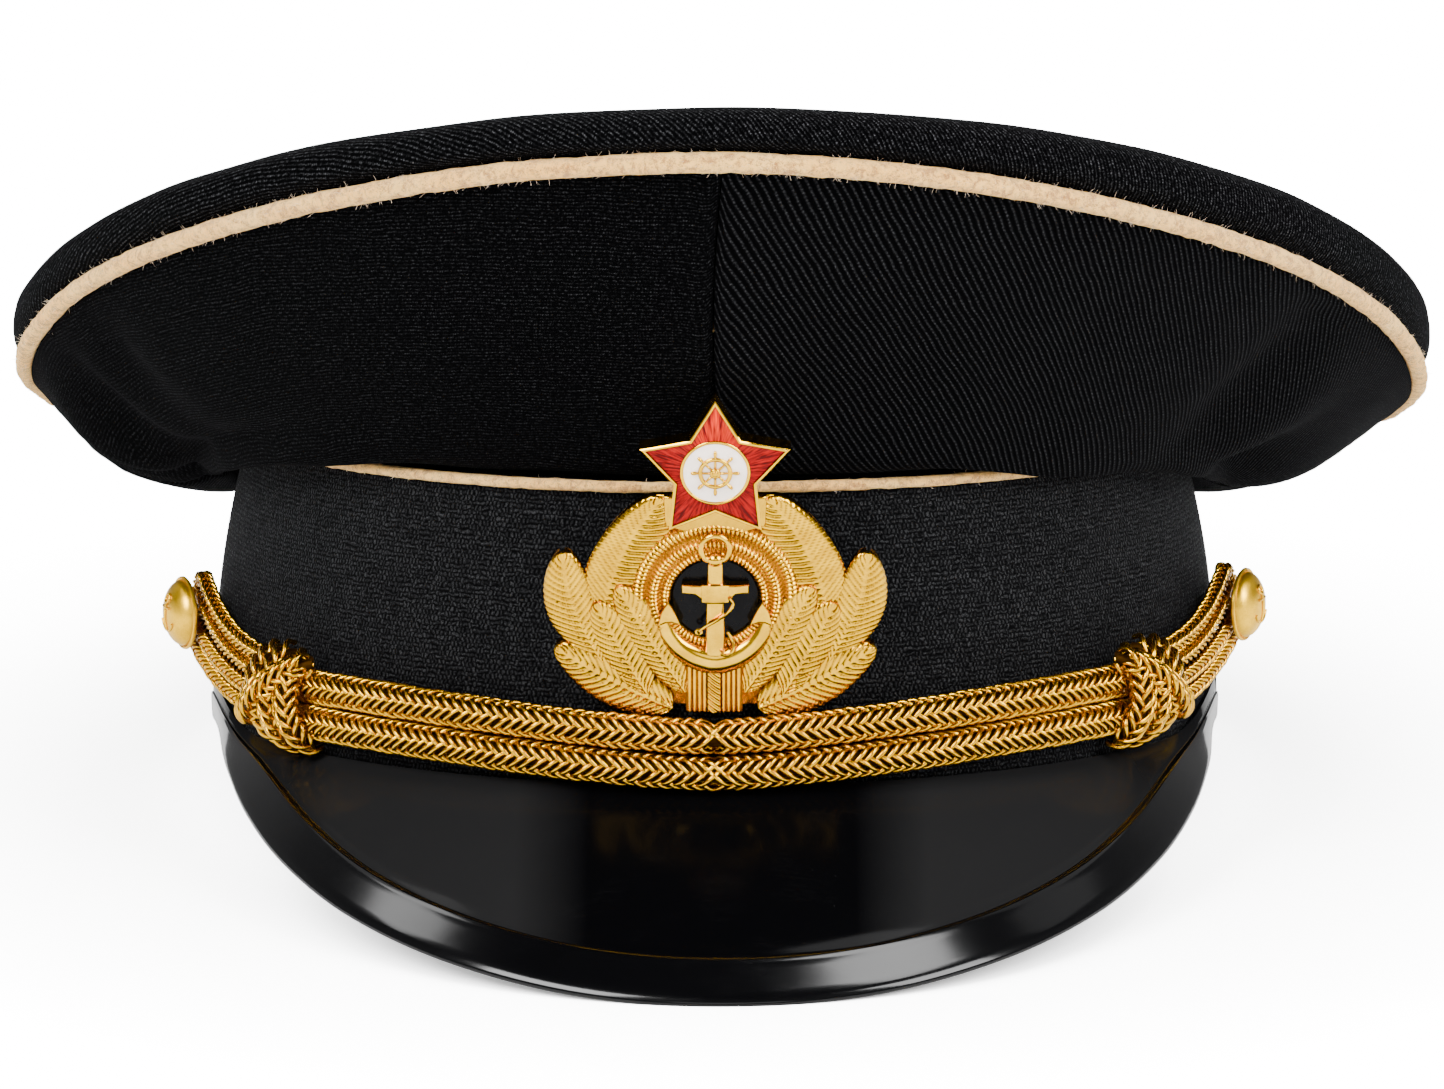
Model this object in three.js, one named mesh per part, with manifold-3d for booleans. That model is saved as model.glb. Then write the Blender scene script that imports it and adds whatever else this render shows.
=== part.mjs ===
// Peaked naval officer cap, in millimetres, +Z up, front towards -Y, resting on the plane z = 0.
// The crown is centred on x = 0; the band and what it carries sit a little to the wearer's right.
import * as THREE from 'three'
import { mergeVertices } from 'three/addons/utils/BufferGeometryUtils.js'
import Module from 'manifold-3d'

const wasm = await Module()
wasm.setup()

// Driving dimensions
const gap = 0.3                       // clearance between neighbouring pieces
const ringSteps = 56                  // sections round the head
const band = {
  x: -1.25, y: 7.29,                  // centre of the band's bottom oval
  halfWidth: 90.6, halfLength: 106,   // outer oval at the bottom
  topHalfWidth: 83.2, topHalfLength: 103.8,
  height: 51.2, wall: 3,
  tilt: THREE.MathUtils.degToRad(7),  // the cap leans back on the band's rear edge
  sink: 0.8,                          // how much of the rear edge is pressed flat
}
const crown = {
  y: 3.29, halfWidth: 124.4, halfLength: 132,
  wall: 1.8, topWall: 1.6,
  sideTilt: -0.0107,                  // rise of the welt per millimetre to the right
  sideRoll: 1.3,                        // the rolled rim stands this much higher on the right
  topLevel: 145.3, topFall: 83 / 264, // height of the top panel at the front, and its fall per millimetre
  topDip: 2,                          // the middle of the top panel lies this much lower
}
const piping = { radius: 1.65, sides: 6, bandRadius: 0.95, bandSides: 4, belowEdge: 0.8 }
const visor = {
  thickness: 2, endThickness: 1.1, fullThicknessAt: 8, camber: 0.4, fullCamberAt: 40,
  borderWidth: 9, borderRise: 0.7, borderStep: 0.5, widestBorder: 0.55, edgeRound: 0.6,
  steps: 30, halfAngle: 79, clearance: 0.4,
  swing: 0.8,                         // the peak is turned this many degrees to the right
}
const cord = { radius: 2.95, sides: 9, steps: 17, points: 16, intoKnot: 2.4 }
const loop = {
  radius: 1.4, sides: 6, steps: 22,
  fromKnot: 2.6, underKnot: 0.6,      // where the loops leave the knot: degrees beyond it, below its middle
  lift: 2.5, sag: 2.2,                // they stand off the band at the button and sag on the way
  bend: [60, 20, -20, -60], bendReach: 0.58,
}
const knot = {
  angle: 49.5, height: 11.4, halfLength: 7, halfHeight: 9.6, halfDepth: 5.6, clearance: 0.5,
  ribs: 4, ribDepth: 0.05, lean: 0.2, swing: 3, sectors: 14, rows: 9,
}
const button = {
  angle: 75.5, height: 20.1, footAngle: 76.2,
  radius: 6.5, rimHeight: 1.5, rimWidth: 0.7, dome: 4.3, shankRadius: 1, stand: 6.8, sectors: 16,
}
const badge = {
  x: -1.05, y: -102.08, z: 58.9, lean: THREE.MathUtils.degToRad(12),
  bend: 150, back: 2.4,               // radius that it is bent to, and its back behind the seat
  postRadius: 1.5, postHeight: 33.5,  // the post's foot, along the band
}

// The welt's centre line round the crown, from the centre front (0) to the rear (180): its height,
// and how far it is drawn in from the crown's oval
const weltHeights = [
  { angle: 0, z: 137, inward: 0 }, { angle: 15, z: 134.3, inward: 0 }, { angle: 30, z: 127, inward: 0 },
  { angle: 45, z: 116, inward: 0 }, { angle: 60, z: 101.9, inward: 0 }, { angle: 72, z: 88.5, inward: 0.1 },
  { angle: 84, z: 76, inward: 0.9 }, { angle: 92, z: 69, inward: 1.8 }, { angle: 100, z: 62.5, inward: 2.2 },
  { angle: 112, z: 58, inward: 1.8 }, { angle: 130, z: 55, inward: 0.5 }, { angle: 155, z: 54, inward: 0 },
  { angle: 180, z: 54, inward: 0 },
]
// The rolled rim above the welt: its height, and how far it stands out
const rimSections = [
  { angle: 0, rise: 8.3, out: 1.8 }, { angle: 45, rise: 11, out: 1.8 }, { angle: 80, rise: 12.4, out: 1.9 },
  { angle: 100, rise: 11.2, out: 2 }, { angle: 180, rise: 9, out: 1.5 },
]
// The side panels, measured out and up from the band's top edge: over the edge, where they hang beside
// it, lowest sag, middle
const wallSections = [
  { angle: 0, overOut: 1.6, overUp: 1.9, hangOut: 5.2, hangUp: 6.6, lowOut: 12.8, lowUp: 17.2, midOut: 27, midUp: 38.2 },
  { angle: 30, overOut: 2.1, overUp: 1.6, hangOut: 4.9, hangUp: 2.6, lowOut: 13.6, lowUp: 13, midOut: 27.6, midUp: 31.4 },
  { angle: 45, overOut: 2.7, overUp: 1.3, hangOut: 4.4, hangUp: -1, lowOut: 14.3, lowUp: 8.4, midOut: 28.2, midUp: 24.2 },
  { angle: 62, overOut: 2.9, overUp: 1.2, hangOut: 4.2, hangUp: -3, lowOut: 14, lowUp: 1.8, midOut: 29.5, midUp: 14.8 },
  { angle: 80, overOut: 3, overUp: 1.1, hangOut: 4.2, hangUp: -5.4, lowOut: 12.6, lowUp: -7.4, midOut: 26.6, midUp: -2.2 },
  { angle: 100, overOut: 3, overUp: 1.1, hangOut: 4.2, hangUp: -7, lowOut: 9.4, lowUp: -16, midOut: 21.2, midUp: -14.2 },
  { angle: 125, overOut: 3, overUp: 1.1, hangOut: 4.2, hangUp: -9, lowOut: 8.4, lowUp: -18.2, midOut: 17.6, midUp: -15 },
  { angle: 150, overOut: 3, overUp: 1.1, hangOut: 4.2, hangUp: -8, lowOut: 8, lowUp: -16, midOut: 14.8, midUp: -10.2 },
  { angle: 180, overOut: 3, overUp: 1.1, hangOut: 4.2, hangUp: -7, lowOut: 7.8, lowUp: -13.4, midOut: 12.6, midUp: -8.4 },
]
const wall = {
  startOut: -2.2, startUp: 0.5,         // the inner edge lies on the band's top
  rightDroop: 5,                        // the cloth hangs lower on the right, as if turned by these degrees
  places: [0, 0.2, 0.4, 0.55, 0.7, 0.85, 1],
  heldBelow: 0.4, freeAbove: 0.6,       // the folds fade out towards the band
}
// Soft folds in the side panels: angle from the front (right is positive), height 0 to 1, depth
const folds = [
  { angle: -66, at: 0.84, depth: 2.4, width: 7, spread: 0.14 },
  { angle: -56, at: 0.76, depth: -1.6, width: 6, spread: 0.2 },
  { angle: -80, at: 0.62, depth: -1.8, width: 9, spread: 0.12 },
  { angle: 57, at: 0.78, depth: 2, width: 6, spread: 0.2 },
  { angle: 66, at: 0.7, depth: -1.6, width: 6, spread: 0.16 },
  { angle: 76, at: 0.6, depth: 2, width: 8, spread: 0.12 },
  { angle: 88, at: 0.7, depth: -1.6, width: 8, spread: 0.14 },
  { angle: 140, at: 0.6, depth: 2, width: 10, spread: 0.2 },
  { angle: -150, at: 0.65, depth: 1.8, width: 10, spread: 0.2 },
]
// The peak: how far each section reaches out from the band's bottom edge, and how far it drops
const visorSections = [
  { angle: 0, reach: 39.2, drop: 25.6 }, { angle: 10, reach: 37.8, drop: 24.7 }, { angle: 20, reach: 34.5, drop: 21.6 },
  { angle: 30, reach: 28.6, drop: 17.6 }, { angle: 40, reach: 21.2, drop: 12.9 }, { angle: 50, reach: 13.5, drop: 8.4 },
  { angle: 60, reach: 6.7, drop: 4.6 }, { angle: 70, reach: 2, drop: 2 }, { angle: 79, reach: 0.9, drop: 1.1 },
]
// Leaves of the wreath's left half, from stalk to tip, across and up from the middle of the rings
const leaves = [
  { stalkX: -18.3, stalkY: -2.4, tipX: -8.7, tipY: 18.1, halfWidth: 5.8, bow: 0, widest: 0.66, layer: 1.5 },
  { stalkX: -18.6, stalkY: -12.4, tipX: -25.2, tipY: 7.3, halfWidth: 4.3, bow: 1.8, widest: 1, layer: 1.7 },
  { stalkX: -9.1, stalkY: -19.6, tipX: -26.5, tipY: -10.2, halfWidth: 4.4, bow: 0.8, widest: 0.8, layer: 1.9 },
  { stalkX: -11.2, stalkY: -17.6, tipX: -19.6, tipY: -1.2, halfWidth: 3.9, bow: 0, widest: 1, layer: 2.1 },
  { stalkX: -4.9, stalkY: -17, tipX: -16, tipY: 2, halfWidth: 3.8, bow: 0, widest: 1, layer: 2.3 },
]
// How round a leaf's edges are, and where they are drawn, from the stalk
const leafRoundness = 0.45
const leafPlaces = [0.15, 0.45, 0.78, 0.95]

// How far the cap cord climbs the band from the centre front to the knots, along the band
const cordClimb = [
  { angle: 0, climb: 0 }, { angle: 10, climb: 0.9 }, { angle: 20, climb: 2.1 }, { angle: 32, climb: 3.3 },
  { angle: 48, climb: 3.9 },
]
const cordHeights = { upper: 9.4, lower: 3.25 }              // at the centre front
const cordLean = 0.01                                        // it hangs lower on the left, per degree round the head
const loopLanes = {
  outer: { spread: 5, turn: 6.2 },                           // half the loop's height at the knot and at the button
  inner: { spread: 1.65, turn: 3.05 },
}
const side = { left: -1, right: 1 }

const materials = {
  wool: { color: 0x0d0d10, roughness: 0.9, metalness: 0 },
  welt: { color: 0xe8c9a0, roughness: 0.9, metalness: 0 },
  ribbon: { color: 0x101116, roughness: 0.8, metalness: 0 },
  lacquer: { color: 0x060607, roughness: 0.15, metalness: 0 },
  bullion: { color: 0xc08a30, roughness: 0.35, metalness: 1 },
  gilt: { color: 0xe0b450, roughness: 0.3, metalness: 1 },
  redEnamel: { color: 0xb01010, roughness: 0.1, metalness: 0 },
  whiteEnamel: { color: 0xf2f0ea, roughness: 0.15, metalness: 0 },
  blackEnamel: { color: 0x050505, roughness: 0.1, metalness: 0 },
}

// A smooth value from a table's column, with flat ends at the front and the rear
function fromTable(rows, column, degrees) {
  const last = rows.length - 1
  const angle = THREE.MathUtils.clamp(Math.abs(degrees), rows[0].angle, rows[last].angle)
  const i = Math.min(last - 1, rows.findLastIndex(row => row.angle <= angle))
  const slope = k => {
    if (k === 0 || k === last) return 0
    return (rows[k + 1][column] - rows[k - 1][column]) / (rows[k + 1].angle - rows[k - 1].angle)
  }
  const span = rows[i + 1].angle - rows[i].angle
  const t = (angle - rows[i].angle) / span
  const h00 = 2 * t ** 3 - 3 * t ** 2 + 1
  const h10 = t ** 3 - 2 * t ** 2 + t
  const h01 = 3 * t ** 2 - 2 * t ** 3
  const h11 = t ** 3 - t ** 2
  return h00 * rows[i][column] + h01 * rows[i + 1][column] + span * (h10 * slope(i) + h11 * slope(i + 1))
}

const radians = THREE.MathUtils.degToRad
const up = new THREE.Vector3(0, 0, 1)

// A point on the leaning band: angle round the head, height along the band, distance outside it
function onBand(degrees, height, out = 0) {
  const a = radians(degrees)
  const k = (Math.max(0, height) / band.height) ** 2           // the flank curves in towards the top
  const halfWidth = THREE.MathUtils.lerp(band.halfWidth, band.topHalfWidth, k)
  const halfLength = THREE.MathUtils.lerp(band.halfLength, band.topHalfLength, k)
  const normal = ovalNormal(a, halfWidth, halfLength)
  const x = halfWidth * Math.sin(a) + out * normal.x
  const back = -halfLength * Math.cos(a) + out * normal.y - band.halfLength
  const y = band.halfLength + back * Math.cos(band.tilt) + height * Math.sin(band.tilt)
  const z = -back * Math.sin(band.tilt) + height * Math.cos(band.tilt) - band.sink
  return new THREE.Vector3(band.x + x, band.y + y, z)
}

function ovalNormal(a, halfWidth, halfLength) {
  return new THREE.Vector3(Math.sin(a) / halfWidth, -Math.cos(a) / halfLength, 0).normalize()
}

// The welt's centre line, and the level direction that points away from the crown there
function onWelt(degrees, out = 0, rise = 0) {
  const a = radians(degrees)
  const x = crown.halfWidth * Math.sin(a)
  const z = fromTable(weltHeights, 'z', degrees) + crown.sideTilt * x
  const centre = new THREE.Vector3(x, crown.y - crown.halfLength * Math.cos(a), z)
  const beyond = out - fromTable(weltHeights, 'inward', degrees)
  return centre.addScaledVector(ovalNormal(a, crown.halfWidth, crown.halfLength), beyond).addScaledVector(up, rise)
}

// A closed solid through a row of sections with equal point counts; an open row gets end caps
function loft(sections, closed) {
  const count = sections[0].length
  const positions = sections.flat().flatMap(p => [p.x, p.y, p.z])
  const faces = []
  const spans = closed ? sections.length : sections.length - 1
  for (let i = 0; i < spans; i++) {
    const here = i * count
    const next = ((i + 1) % sections.length) * count
    for (let j = 0; j < count; j++) {
      const k = (j + 1) % count
      faces.push([here + j, next + j, next + k], [here + j, next + k, here + k])
    }
  }
  if (!closed) {
    const lastStart = (sections.length - 1) * count
    for (const [a, b, c] of capTriangles(sections[0])) faces.push([a, b, c])
    for (const [a, b, c] of capTriangles(sections.at(-1))) faces.push([lastStart + a, lastStart + c, lastStart + b])
  }
  return closedGeometry(positions, faces)
}

// An end cap of a section whose first half runs out and whose second half runs back beside it
function capTriangles(section) {
  const last = section.length - 1
  return angles(0, section.length / 2 - 2, section.length / 2 - 2)
    .flatMap(j => [[j, j + 1, last - j - 1], [j, last - j - 1, last - j]])
}

// Merges shared vertices, drops collapsed triangles and turns the faces outward
function closedGeometry(positions, faces) {
  const loose = new THREE.BufferGeometry()
  loose.setAttribute('position', new THREE.Float32BufferAttribute(positions, 3))
  loose.setIndex(faces.flat())
  const merged = mergeVertices(loose, 1e-4)
  const index = merged.index.array
  const kept = []
  for (let i = 0; i < index.length; i += 3) {
    const [a, b, c] = [index[i], index[i + 1], index[i + 2]]
    if (a !== b && b !== c && c !== a) kept.push([a, b, c])
  }
  const inward = volumeOf(merged, kept) < 0
  merged.setIndex(kept.flatMap(([a, b, c]) => inward ? [a, c, b] : [a, b, c]))
  return merged
}

function volumeOf(geometry, faces) {
  const corner = i => new THREE.Vector3().fromBufferAttribute(geometry.attributes.position, i)
  return faces.reduce((sum, [a, b, c]) => sum + corner(a).dot(corner(b).cross(corner(c))) / 6, 0)
}

// Joins and cuts
function solidOf(geometry) {
  const bare = new THREE.BufferGeometry()
  const flat = geometry.index ? geometry.toNonIndexed() : geometry
  bare.setAttribute('position', flat.attributes.position.clone())
  const welded = mergeVertices(bare, 1e-4)
  const mesh = new wasm.Mesh({
    numProp: 3,
    vertProperties: new Float32Array(welded.attributes.position.array),
    triVerts: new Uint32Array(welded.index.array),
  })
  return new wasm.Manifold(mesh)
}

function geometryOf(solid) {
  const mesh = solid.getMesh()
  const geometry = new THREE.BufferGeometry()
  geometry.setAttribute('position', new THREE.Float32BufferAttribute(mesh.vertProperties, 3))
  geometry.setIndex(Array.from(mesh.triVerts))
  return geometry
}

const fuse = geometries => geometries.map(solidOf).reduce((sum, next) => sum.add(next))

const angles = (from, to, steps) => Array.from({ length: steps + 1 }, (_, i) => from + (to - from) * i / steps)
const round = angles(0, 360, ringSteps).slice(0, -1).map(angle => angle > 180 ? angle - 360 : angle)

// Head band: a leaning oval wall whose rear edge is flat on the ground
function bandGeometry() {
  const inner = -band.wall
  return loft(round.map(angle => [
    onBand(angle, 0), onBand(angle, band.height / 2), onBand(angle, band.height),
    onBand(angle, band.height, inner), onBand(angle, 0, inner),
  ].map(p => p.setZ(Math.max(0, p.z)))), true)
}

function ringTube(centreAt, outwardAt, radius, sides) {
  return loft(round.map(angle => {
    const centre = centreAt(angle)
    const out = outwardAt(angle)
    return angles(0, 360, sides).slice(0, -1).map(turn => centre.clone()
      .addScaledVector(out, radius * Math.cos(radians(turn)))
      .addScaledVector(up, radius * Math.sin(radians(turn))))
  }), true)
}

const outwardOn = angle => ovalNormal(radians(angle), crown.halfWidth, crown.halfLength)

// How far a fold lifts or sinks the side panel at an angle and a height from 0 to 1
function foldDepth(degrees, at) {
  const freed = THREE.MathUtils.smoothstep(at, wall.heldBelow, wall.freeAbove)
  return freed * folds.reduce((sum, fold) => {
    const side = (degrees - fold.angle) / fold.width
    const height = (at - fold.at) / fold.spread
    return sum - fold.depth * Math.exp(-side * side - height * height)
  }, 0)
}

// One section of a side panel: the outer line from the band's top edge to the welt, then the inner line
function wallSection(degrees) {
  const row = column => fromTable(wallSections, column, degrees)
  const hang = column => fromTable(wallSections, column, degrees + wall.rightDroop)
  const edge = onBand(degrees, band.height)
  const outward = outwardOn(degrees)
  const place = (out, rise) => edge.clone().addScaledVector(outward, out).addScaledVector(up, rise)
  const line = new THREE.CatmullRomCurve3([
    place(wall.startOut, wall.startUp),
    place(hang('overOut'), hang('overUp')),
    place(hang('hangOut'), hang('hangUp')),
    place(row('lowOut'), row('lowUp')),
    place(row('midOut'), row('midUp')),
    onWelt(degrees, -1.1, -1.7),
  ], false, 'centripetal')
  const across = outward.clone().cross(up)
  const outer = []
  const inner = []
  for (const at of wall.places) {
    const point = line.getPoint(at)
    const normal = line.getTangent(at).cross(across)
    const held = at === 0 || at === 1
    if (!held) point.addScaledVector(normal, foldDepth(degrees, at))
    outer.push(point)
    inner.push(point.clone().addScaledVector(normal, -crown.wall))
  }
  inner[0] = place(wall.startOut - crown.wall, wall.startUp)
  inner[inner.length - 1] = onWelt(degrees, -2.6, -0.1)
  return [...outer, ...inner.reverse()]
}

function wallGeometry(from, to) {
  const seam = 0.08                                        // half the gap at a seam, in degrees
  const inside = angles(from, to, ringSteps / 4).slice(1, -1)
  return loft([from + seam, ...inside, to - seam].map(wallSection), false)
}

// Top panel with its rolled rim, from the welt over the roll to the middle, and back inside
function crownTopGeometry() {
  const level = p => crown.topLevel - (p.y - crown.y + crown.halfLength) * crown.topFall
  const middle = new THREE.Vector3(0, crown.y, level({ y: crown.y }) - crown.topDip)
  const profile = degrees => {
    const rise = fromTable(rimSections, 'rise', degrees) + crown.sideRoll * Math.sin(radians(degrees))
    const out = fromTable(rimSections, 'out', degrees)
    const rim = (a, b) => onWelt(degrees, a, b)
    const crest = rim(-1.6 * out - 0.6, rise)
    const panel = share => {
      const p = middle.clone().lerp(crest, share)
      p.z = level(p) - crown.topDip * (1 - share * share) + (crest.z - level(crest)) * share ** 3
      return p
    }
    const t = crown.topWall
    const outer = [
      rim(-0.9, 1.85), rim(0.75 * out, 0.28 * rise + 1), rim(out, 0.52 * rise), rim(0.55 * out, 0.83 * rise),
      crest, panel(0.86), panel(0.45), panel(0),
    ]
    const inner = [
      rim(-2.6, 0.3), rim(out - t, 0.5 * rise), rim(-1.6 * out - 1.2, rise - t),
      panel(0.86).setZ(panel(0.86).z - t), panel(0).setZ(panel(0).z - t),
    ]
    return [...outer, ...inner.reverse()]
  }
  return loft(round.map(profile), true)
}

// Peak: sections from the band's bottom edge outward, with a raised border along the outer edge
function visorGeometry() {
  const section = degrees => {
    const reach = fromTable(visorSections, 'reach', degrees - visor.swing)
    const drop = fromTable(visorSections, 'drop', degrees - visor.swing)
    const start = onBand(degrees, 0, visor.clearance)
    const normal = ovalNormal(radians(degrees), band.halfWidth, band.halfLength)
    const slope = new THREE.Vector2(reach, -drop).normalize()
    const over = new THREE.Vector2(-slope.y, slope.x)
    const length = Math.hypot(reach, drop)
    const full = Math.min(1, length / visor.fullThicknessAt)
    const thickness = THREE.MathUtils.lerp(visor.endThickness, visor.thickness, full)
    const border = Math.min(visor.borderWidth, visor.widestBorder * length)
    const place = (along, lift) => {
      const swell = visor.camber * Math.sin(Math.PI * along / length) * Math.min(1, length / visor.fullCamberAt)
      const out = slope.x * along + over.x * (lift + swell)
      const rise = slope.y * along + over.y * (lift + swell)
      const p = start.clone().addScaledVector(normal, Math.max(0, out)).addScaledVector(up, rise)
      return p.setZ(Math.max(0, p.z))
    }
    const top = thickness - visor.borderRise * full
    return [
      place(0, top), place((length - border) / 2, top), place(length - border - visor.borderStep, top),
      place(length - border, thickness), place(length - visor.edgeRound, thickness),
      place(length, thickness - visor.edgeRound), place(length, 0),
      place(length - border, 0), place((length - border) / 2, 0), place(0, 0),
    ]
  }
  return loft(angles(-visor.halfAngle, visor.halfAngle, visor.steps).map(section), false)
}

// A round rod along a smooth path
function rodGeometry(points, radius, sides, steps) {
  const outline = new THREE.Shape(angles(0, 360, sides).slice(0, -1)
    .map(turn => new THREE.Vector2(radius * Math.cos(radians(turn)), radius * Math.sin(radians(turn)))))
  const path = new THREE.CatmullRomCurve3(points, false, 'centripetal')
  return new THREE.ExtrudeGeometry(outline, { steps, extrudePath: path, curveSegments: 1 })
}

// Cap cord: two braids one above the other, from inside one knot to inside the other
function cordPoints(height) {
  const reach = knot.angle - cord.intoKnot
  return angles(-reach, reach, cord.points).map(angle => {
    const climb = fromTable(cordClimb, 'climb', angle) + cordLean * angle
    return onBand(angle, height + climb, cord.radius + gap)
  })
}
const cordGeometry = (height, radius) => rodGeometry(cordPoints(height), radius, cord.sides, cord.steps)

// Loops of thin cord: out of the knot, round the button's shank and back
function loopPoints(sign, lane) {
  const from = knot.angle + loop.fromKnot
  const shank = THREE.MathUtils.lerp(button.footAngle, button.angle, 0.5)
  const knotEnd = knot.height - loop.underKnot + sign * cordLean * knot.angle
  const buttonEnd = button.height + sign * cordLean * button.angle
  const place = (angle, way) => {
    const share = THREE.MathUtils.clamp((angle - from) / (shank - from), 0, 1)
    const middle = THREE.MathUtils.lerp(knotEnd, buttonEnd, share) - loop.sag * Math.sin(Math.PI * share)
    const spread = THREE.MathUtils.lerp(lane.spread, lane.turn, share)
    return onBand(sign * angle, middle + way * spread, loop.radius + gap + loop.lift * share ** 1.5)
  }
  const along = angles(from, shank, 6)
  const bend = loop.bend.map(turn => place(
    shank + lane.turn * Math.cos(radians(turn)) * loop.bendReach, Math.sin(radians(turn))))
  return [...along.map(angle => place(angle, 1)), ...bend, ...along.toReversed().map(angle => place(angle, -1))]
}
const loopGeometry = (sign, lane, radius) => rodGeometry(
  loopPoints(sign, lane), radius, loop.sides, loop.steps)

// Sliding knot: a ribbed lump, hollowed where the braids and the loops enter it
function knotGeometry(sign) {
  const lump = new THREE.SphereGeometry(1, knot.sectors, knot.rows)
  lump.rotateX(Math.PI / 2)
  const position = lump.attributes.position
  for (let i = 0; i < position.count; i++) {
    const p = new THREE.Vector3().fromBufferAttribute(position, i)
    const rib = 1 + knot.ribDepth * Math.cos(knot.ribs * Math.atan2(p.z, p.x))
    position.setXYZ(i, rib * knot.halfLength * p.x, rib * knot.halfDepth * p.y, rib * knot.halfHeight * p.z)
  }
  lump.rotateY(sign * knot.lean)
  lump.rotateZ(sign * radians(knot.angle - knot.swing))
  const height = knot.height + sign * cordLean * knot.angle
  const centre = onBand(sign * knot.angle, height, knot.halfDepth + knot.clearance)
  lump.translate(centre.x, centre.y, centre.z)
  let solid = solidOf(lump)
  for (const height of Object.values(cordHeights)) solid = solid.subtract(solidOf(cordGeometry(height, cord.radius + gap)))
  for (const lane of Object.values(loopLanes)) {
    solid = solid.subtract(solidOf(loopGeometry(sign, lane, loop.radius + gap)))
  }
  const pieces = solid.decompose().sort((a, b) => b.volume() - a.volume())
  return geometryOf(pieces[0])
}

// Side button: a domed disc with a rim, on a shank that passes through the loops
function buttonGeometry(sign) {
  const r = button.radius
  const height = button.height + sign * cordLean * button.angle
  const foot = onBand(sign * button.footAngle, height, gap)
  const face = onBand(sign * button.angle, height, button.stand)
  const stand = face.distanceTo(foot)
  const profile = [
    [0, 0], [button.shankRadius, 0], [button.shankRadius, stand], [r - button.rimWidth, stand],
    [r, stand + 0.3 * button.rimHeight], [r, stand + 0.7 * button.rimHeight],
    [r - button.rimWidth, stand + button.rimHeight], [0.72 * r, stand + 0.64 * button.dome],
    [0.4 * r, stand + 0.9 * button.dome], [0, stand + button.dome],
  ].map(([x, y]) => new THREE.Vector2(x, y))
  const geometry = new THREE.LatheGeometry(profile, button.sectors)
  const aim = new THREE.Quaternion().setFromUnitVectors(new THREE.Vector3(0, 1, 0), face.clone().sub(foot).normalize())
  geometry.applyQuaternion(aim)
  geometry.translate(foot.x, foot.y, foot.z)
  return geometryOf(solidOf(geometry))
}

// Badge parts are drawn flat: x across, y up the badge, z out from its back
const extrude = (shape, low, high, options = {}) => {
  const geometry = new THREE.ExtrudeGeometry(shape, { depth: high - low, bevelEnabled: false, curveSegments: 12, ...options })
  return geometry.translate(0, 0, low)
}
const polygon = points => new THREE.Shape(points.map(([x, y]) => new THREE.Vector2(x, y)))
const disc = (radius, low, high, sides = 24) => {
  const geometry = new THREE.CylinderGeometry(radius, radius, high - low, sides)
  return geometry.rotateX(Math.PI / 2).translate(0, 0, (low + high) / 2)
}

// The star over the wreath: tip and notch radii, the wall round the enamel and the floor below it
const star = { y: 23.5, tip: 12.9, notch: 7.1, rim: 0.7, base: 2.4, top: 3.4, discRadius: 5.1, ringWidth: 0.7 }
const starShape = inset => polygon(angles(0, 360, 10).slice(0, -1).map((turn, i) => {
  const radius = i % 2 ? star.notch - inset : star.tip - 1.75 * inset
  return [radius * Math.sin(radians(turn)), star.y + radius * Math.cos(radians(turn))]
}))

// A leaf: a raised body between two curved edges
function leafGeometry(leaf, mirror) {
  const stalk = new THREE.Vector2(mirror * leaf.stalkX, leaf.stalkY)
  const tip = new THREE.Vector2(mirror * leaf.tipX, leaf.tipY)
  const along = tip.clone().sub(stalk)
  const across = new THREE.Vector2(-along.y, along.x).normalize()
  const place = (share, out) => stalk.clone().addScaledVector(along, share).addScaledVector(across, out)
  const edge = (share, sign) => {
    const half = leaf.halfWidth * Math.sin(Math.PI * share ** leaf.widest) ** leafRoundness
    return place(share, sign * half + mirror * leaf.bow * Math.sin(Math.PI * share))
  }
  const outline = [
    place(0, 0), ...leafPlaces.map(share => edge(share, 1)), tip,
    ...leafPlaces.toReversed().map(share => edge(share, -1)),
  ]
  return extrude(new THREE.Shape(outline), 0.2, leaf.layer - 0.5,
    { bevelEnabled: true, bevelSegments: 1, bevelThickness: 0.5, bevelSize: 0.5, bevelOffset: -0.5 })
}

// Radii of the ribbed rings in the middle of the badge, and the floor of their hole
const ringProfile = { outer: 13.6, middle: 11.3, inner: 9.2, hole: 7.2, floor: 0.9, enamelTop: 1.9 }
function ringsGeometry() {
  const { outer, middle, inner, hole, floor } = ringProfile
  const profile = [
    [0, 0], [outer, 0], [outer, 1.9], [outer - 1.1, 2.6], [middle, 2.2],
    [middle - 0.7, 2.9], [inner, 2.3], [inner - 0.8, 2.8], [hole, 2.3], [hole, floor], [0, floor],
  ].map(([x, y]) => new THREE.Vector2(x, y))
  return new THREE.LatheGeometry(profile, 20).rotateX(Math.PI / 2)
}

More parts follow.
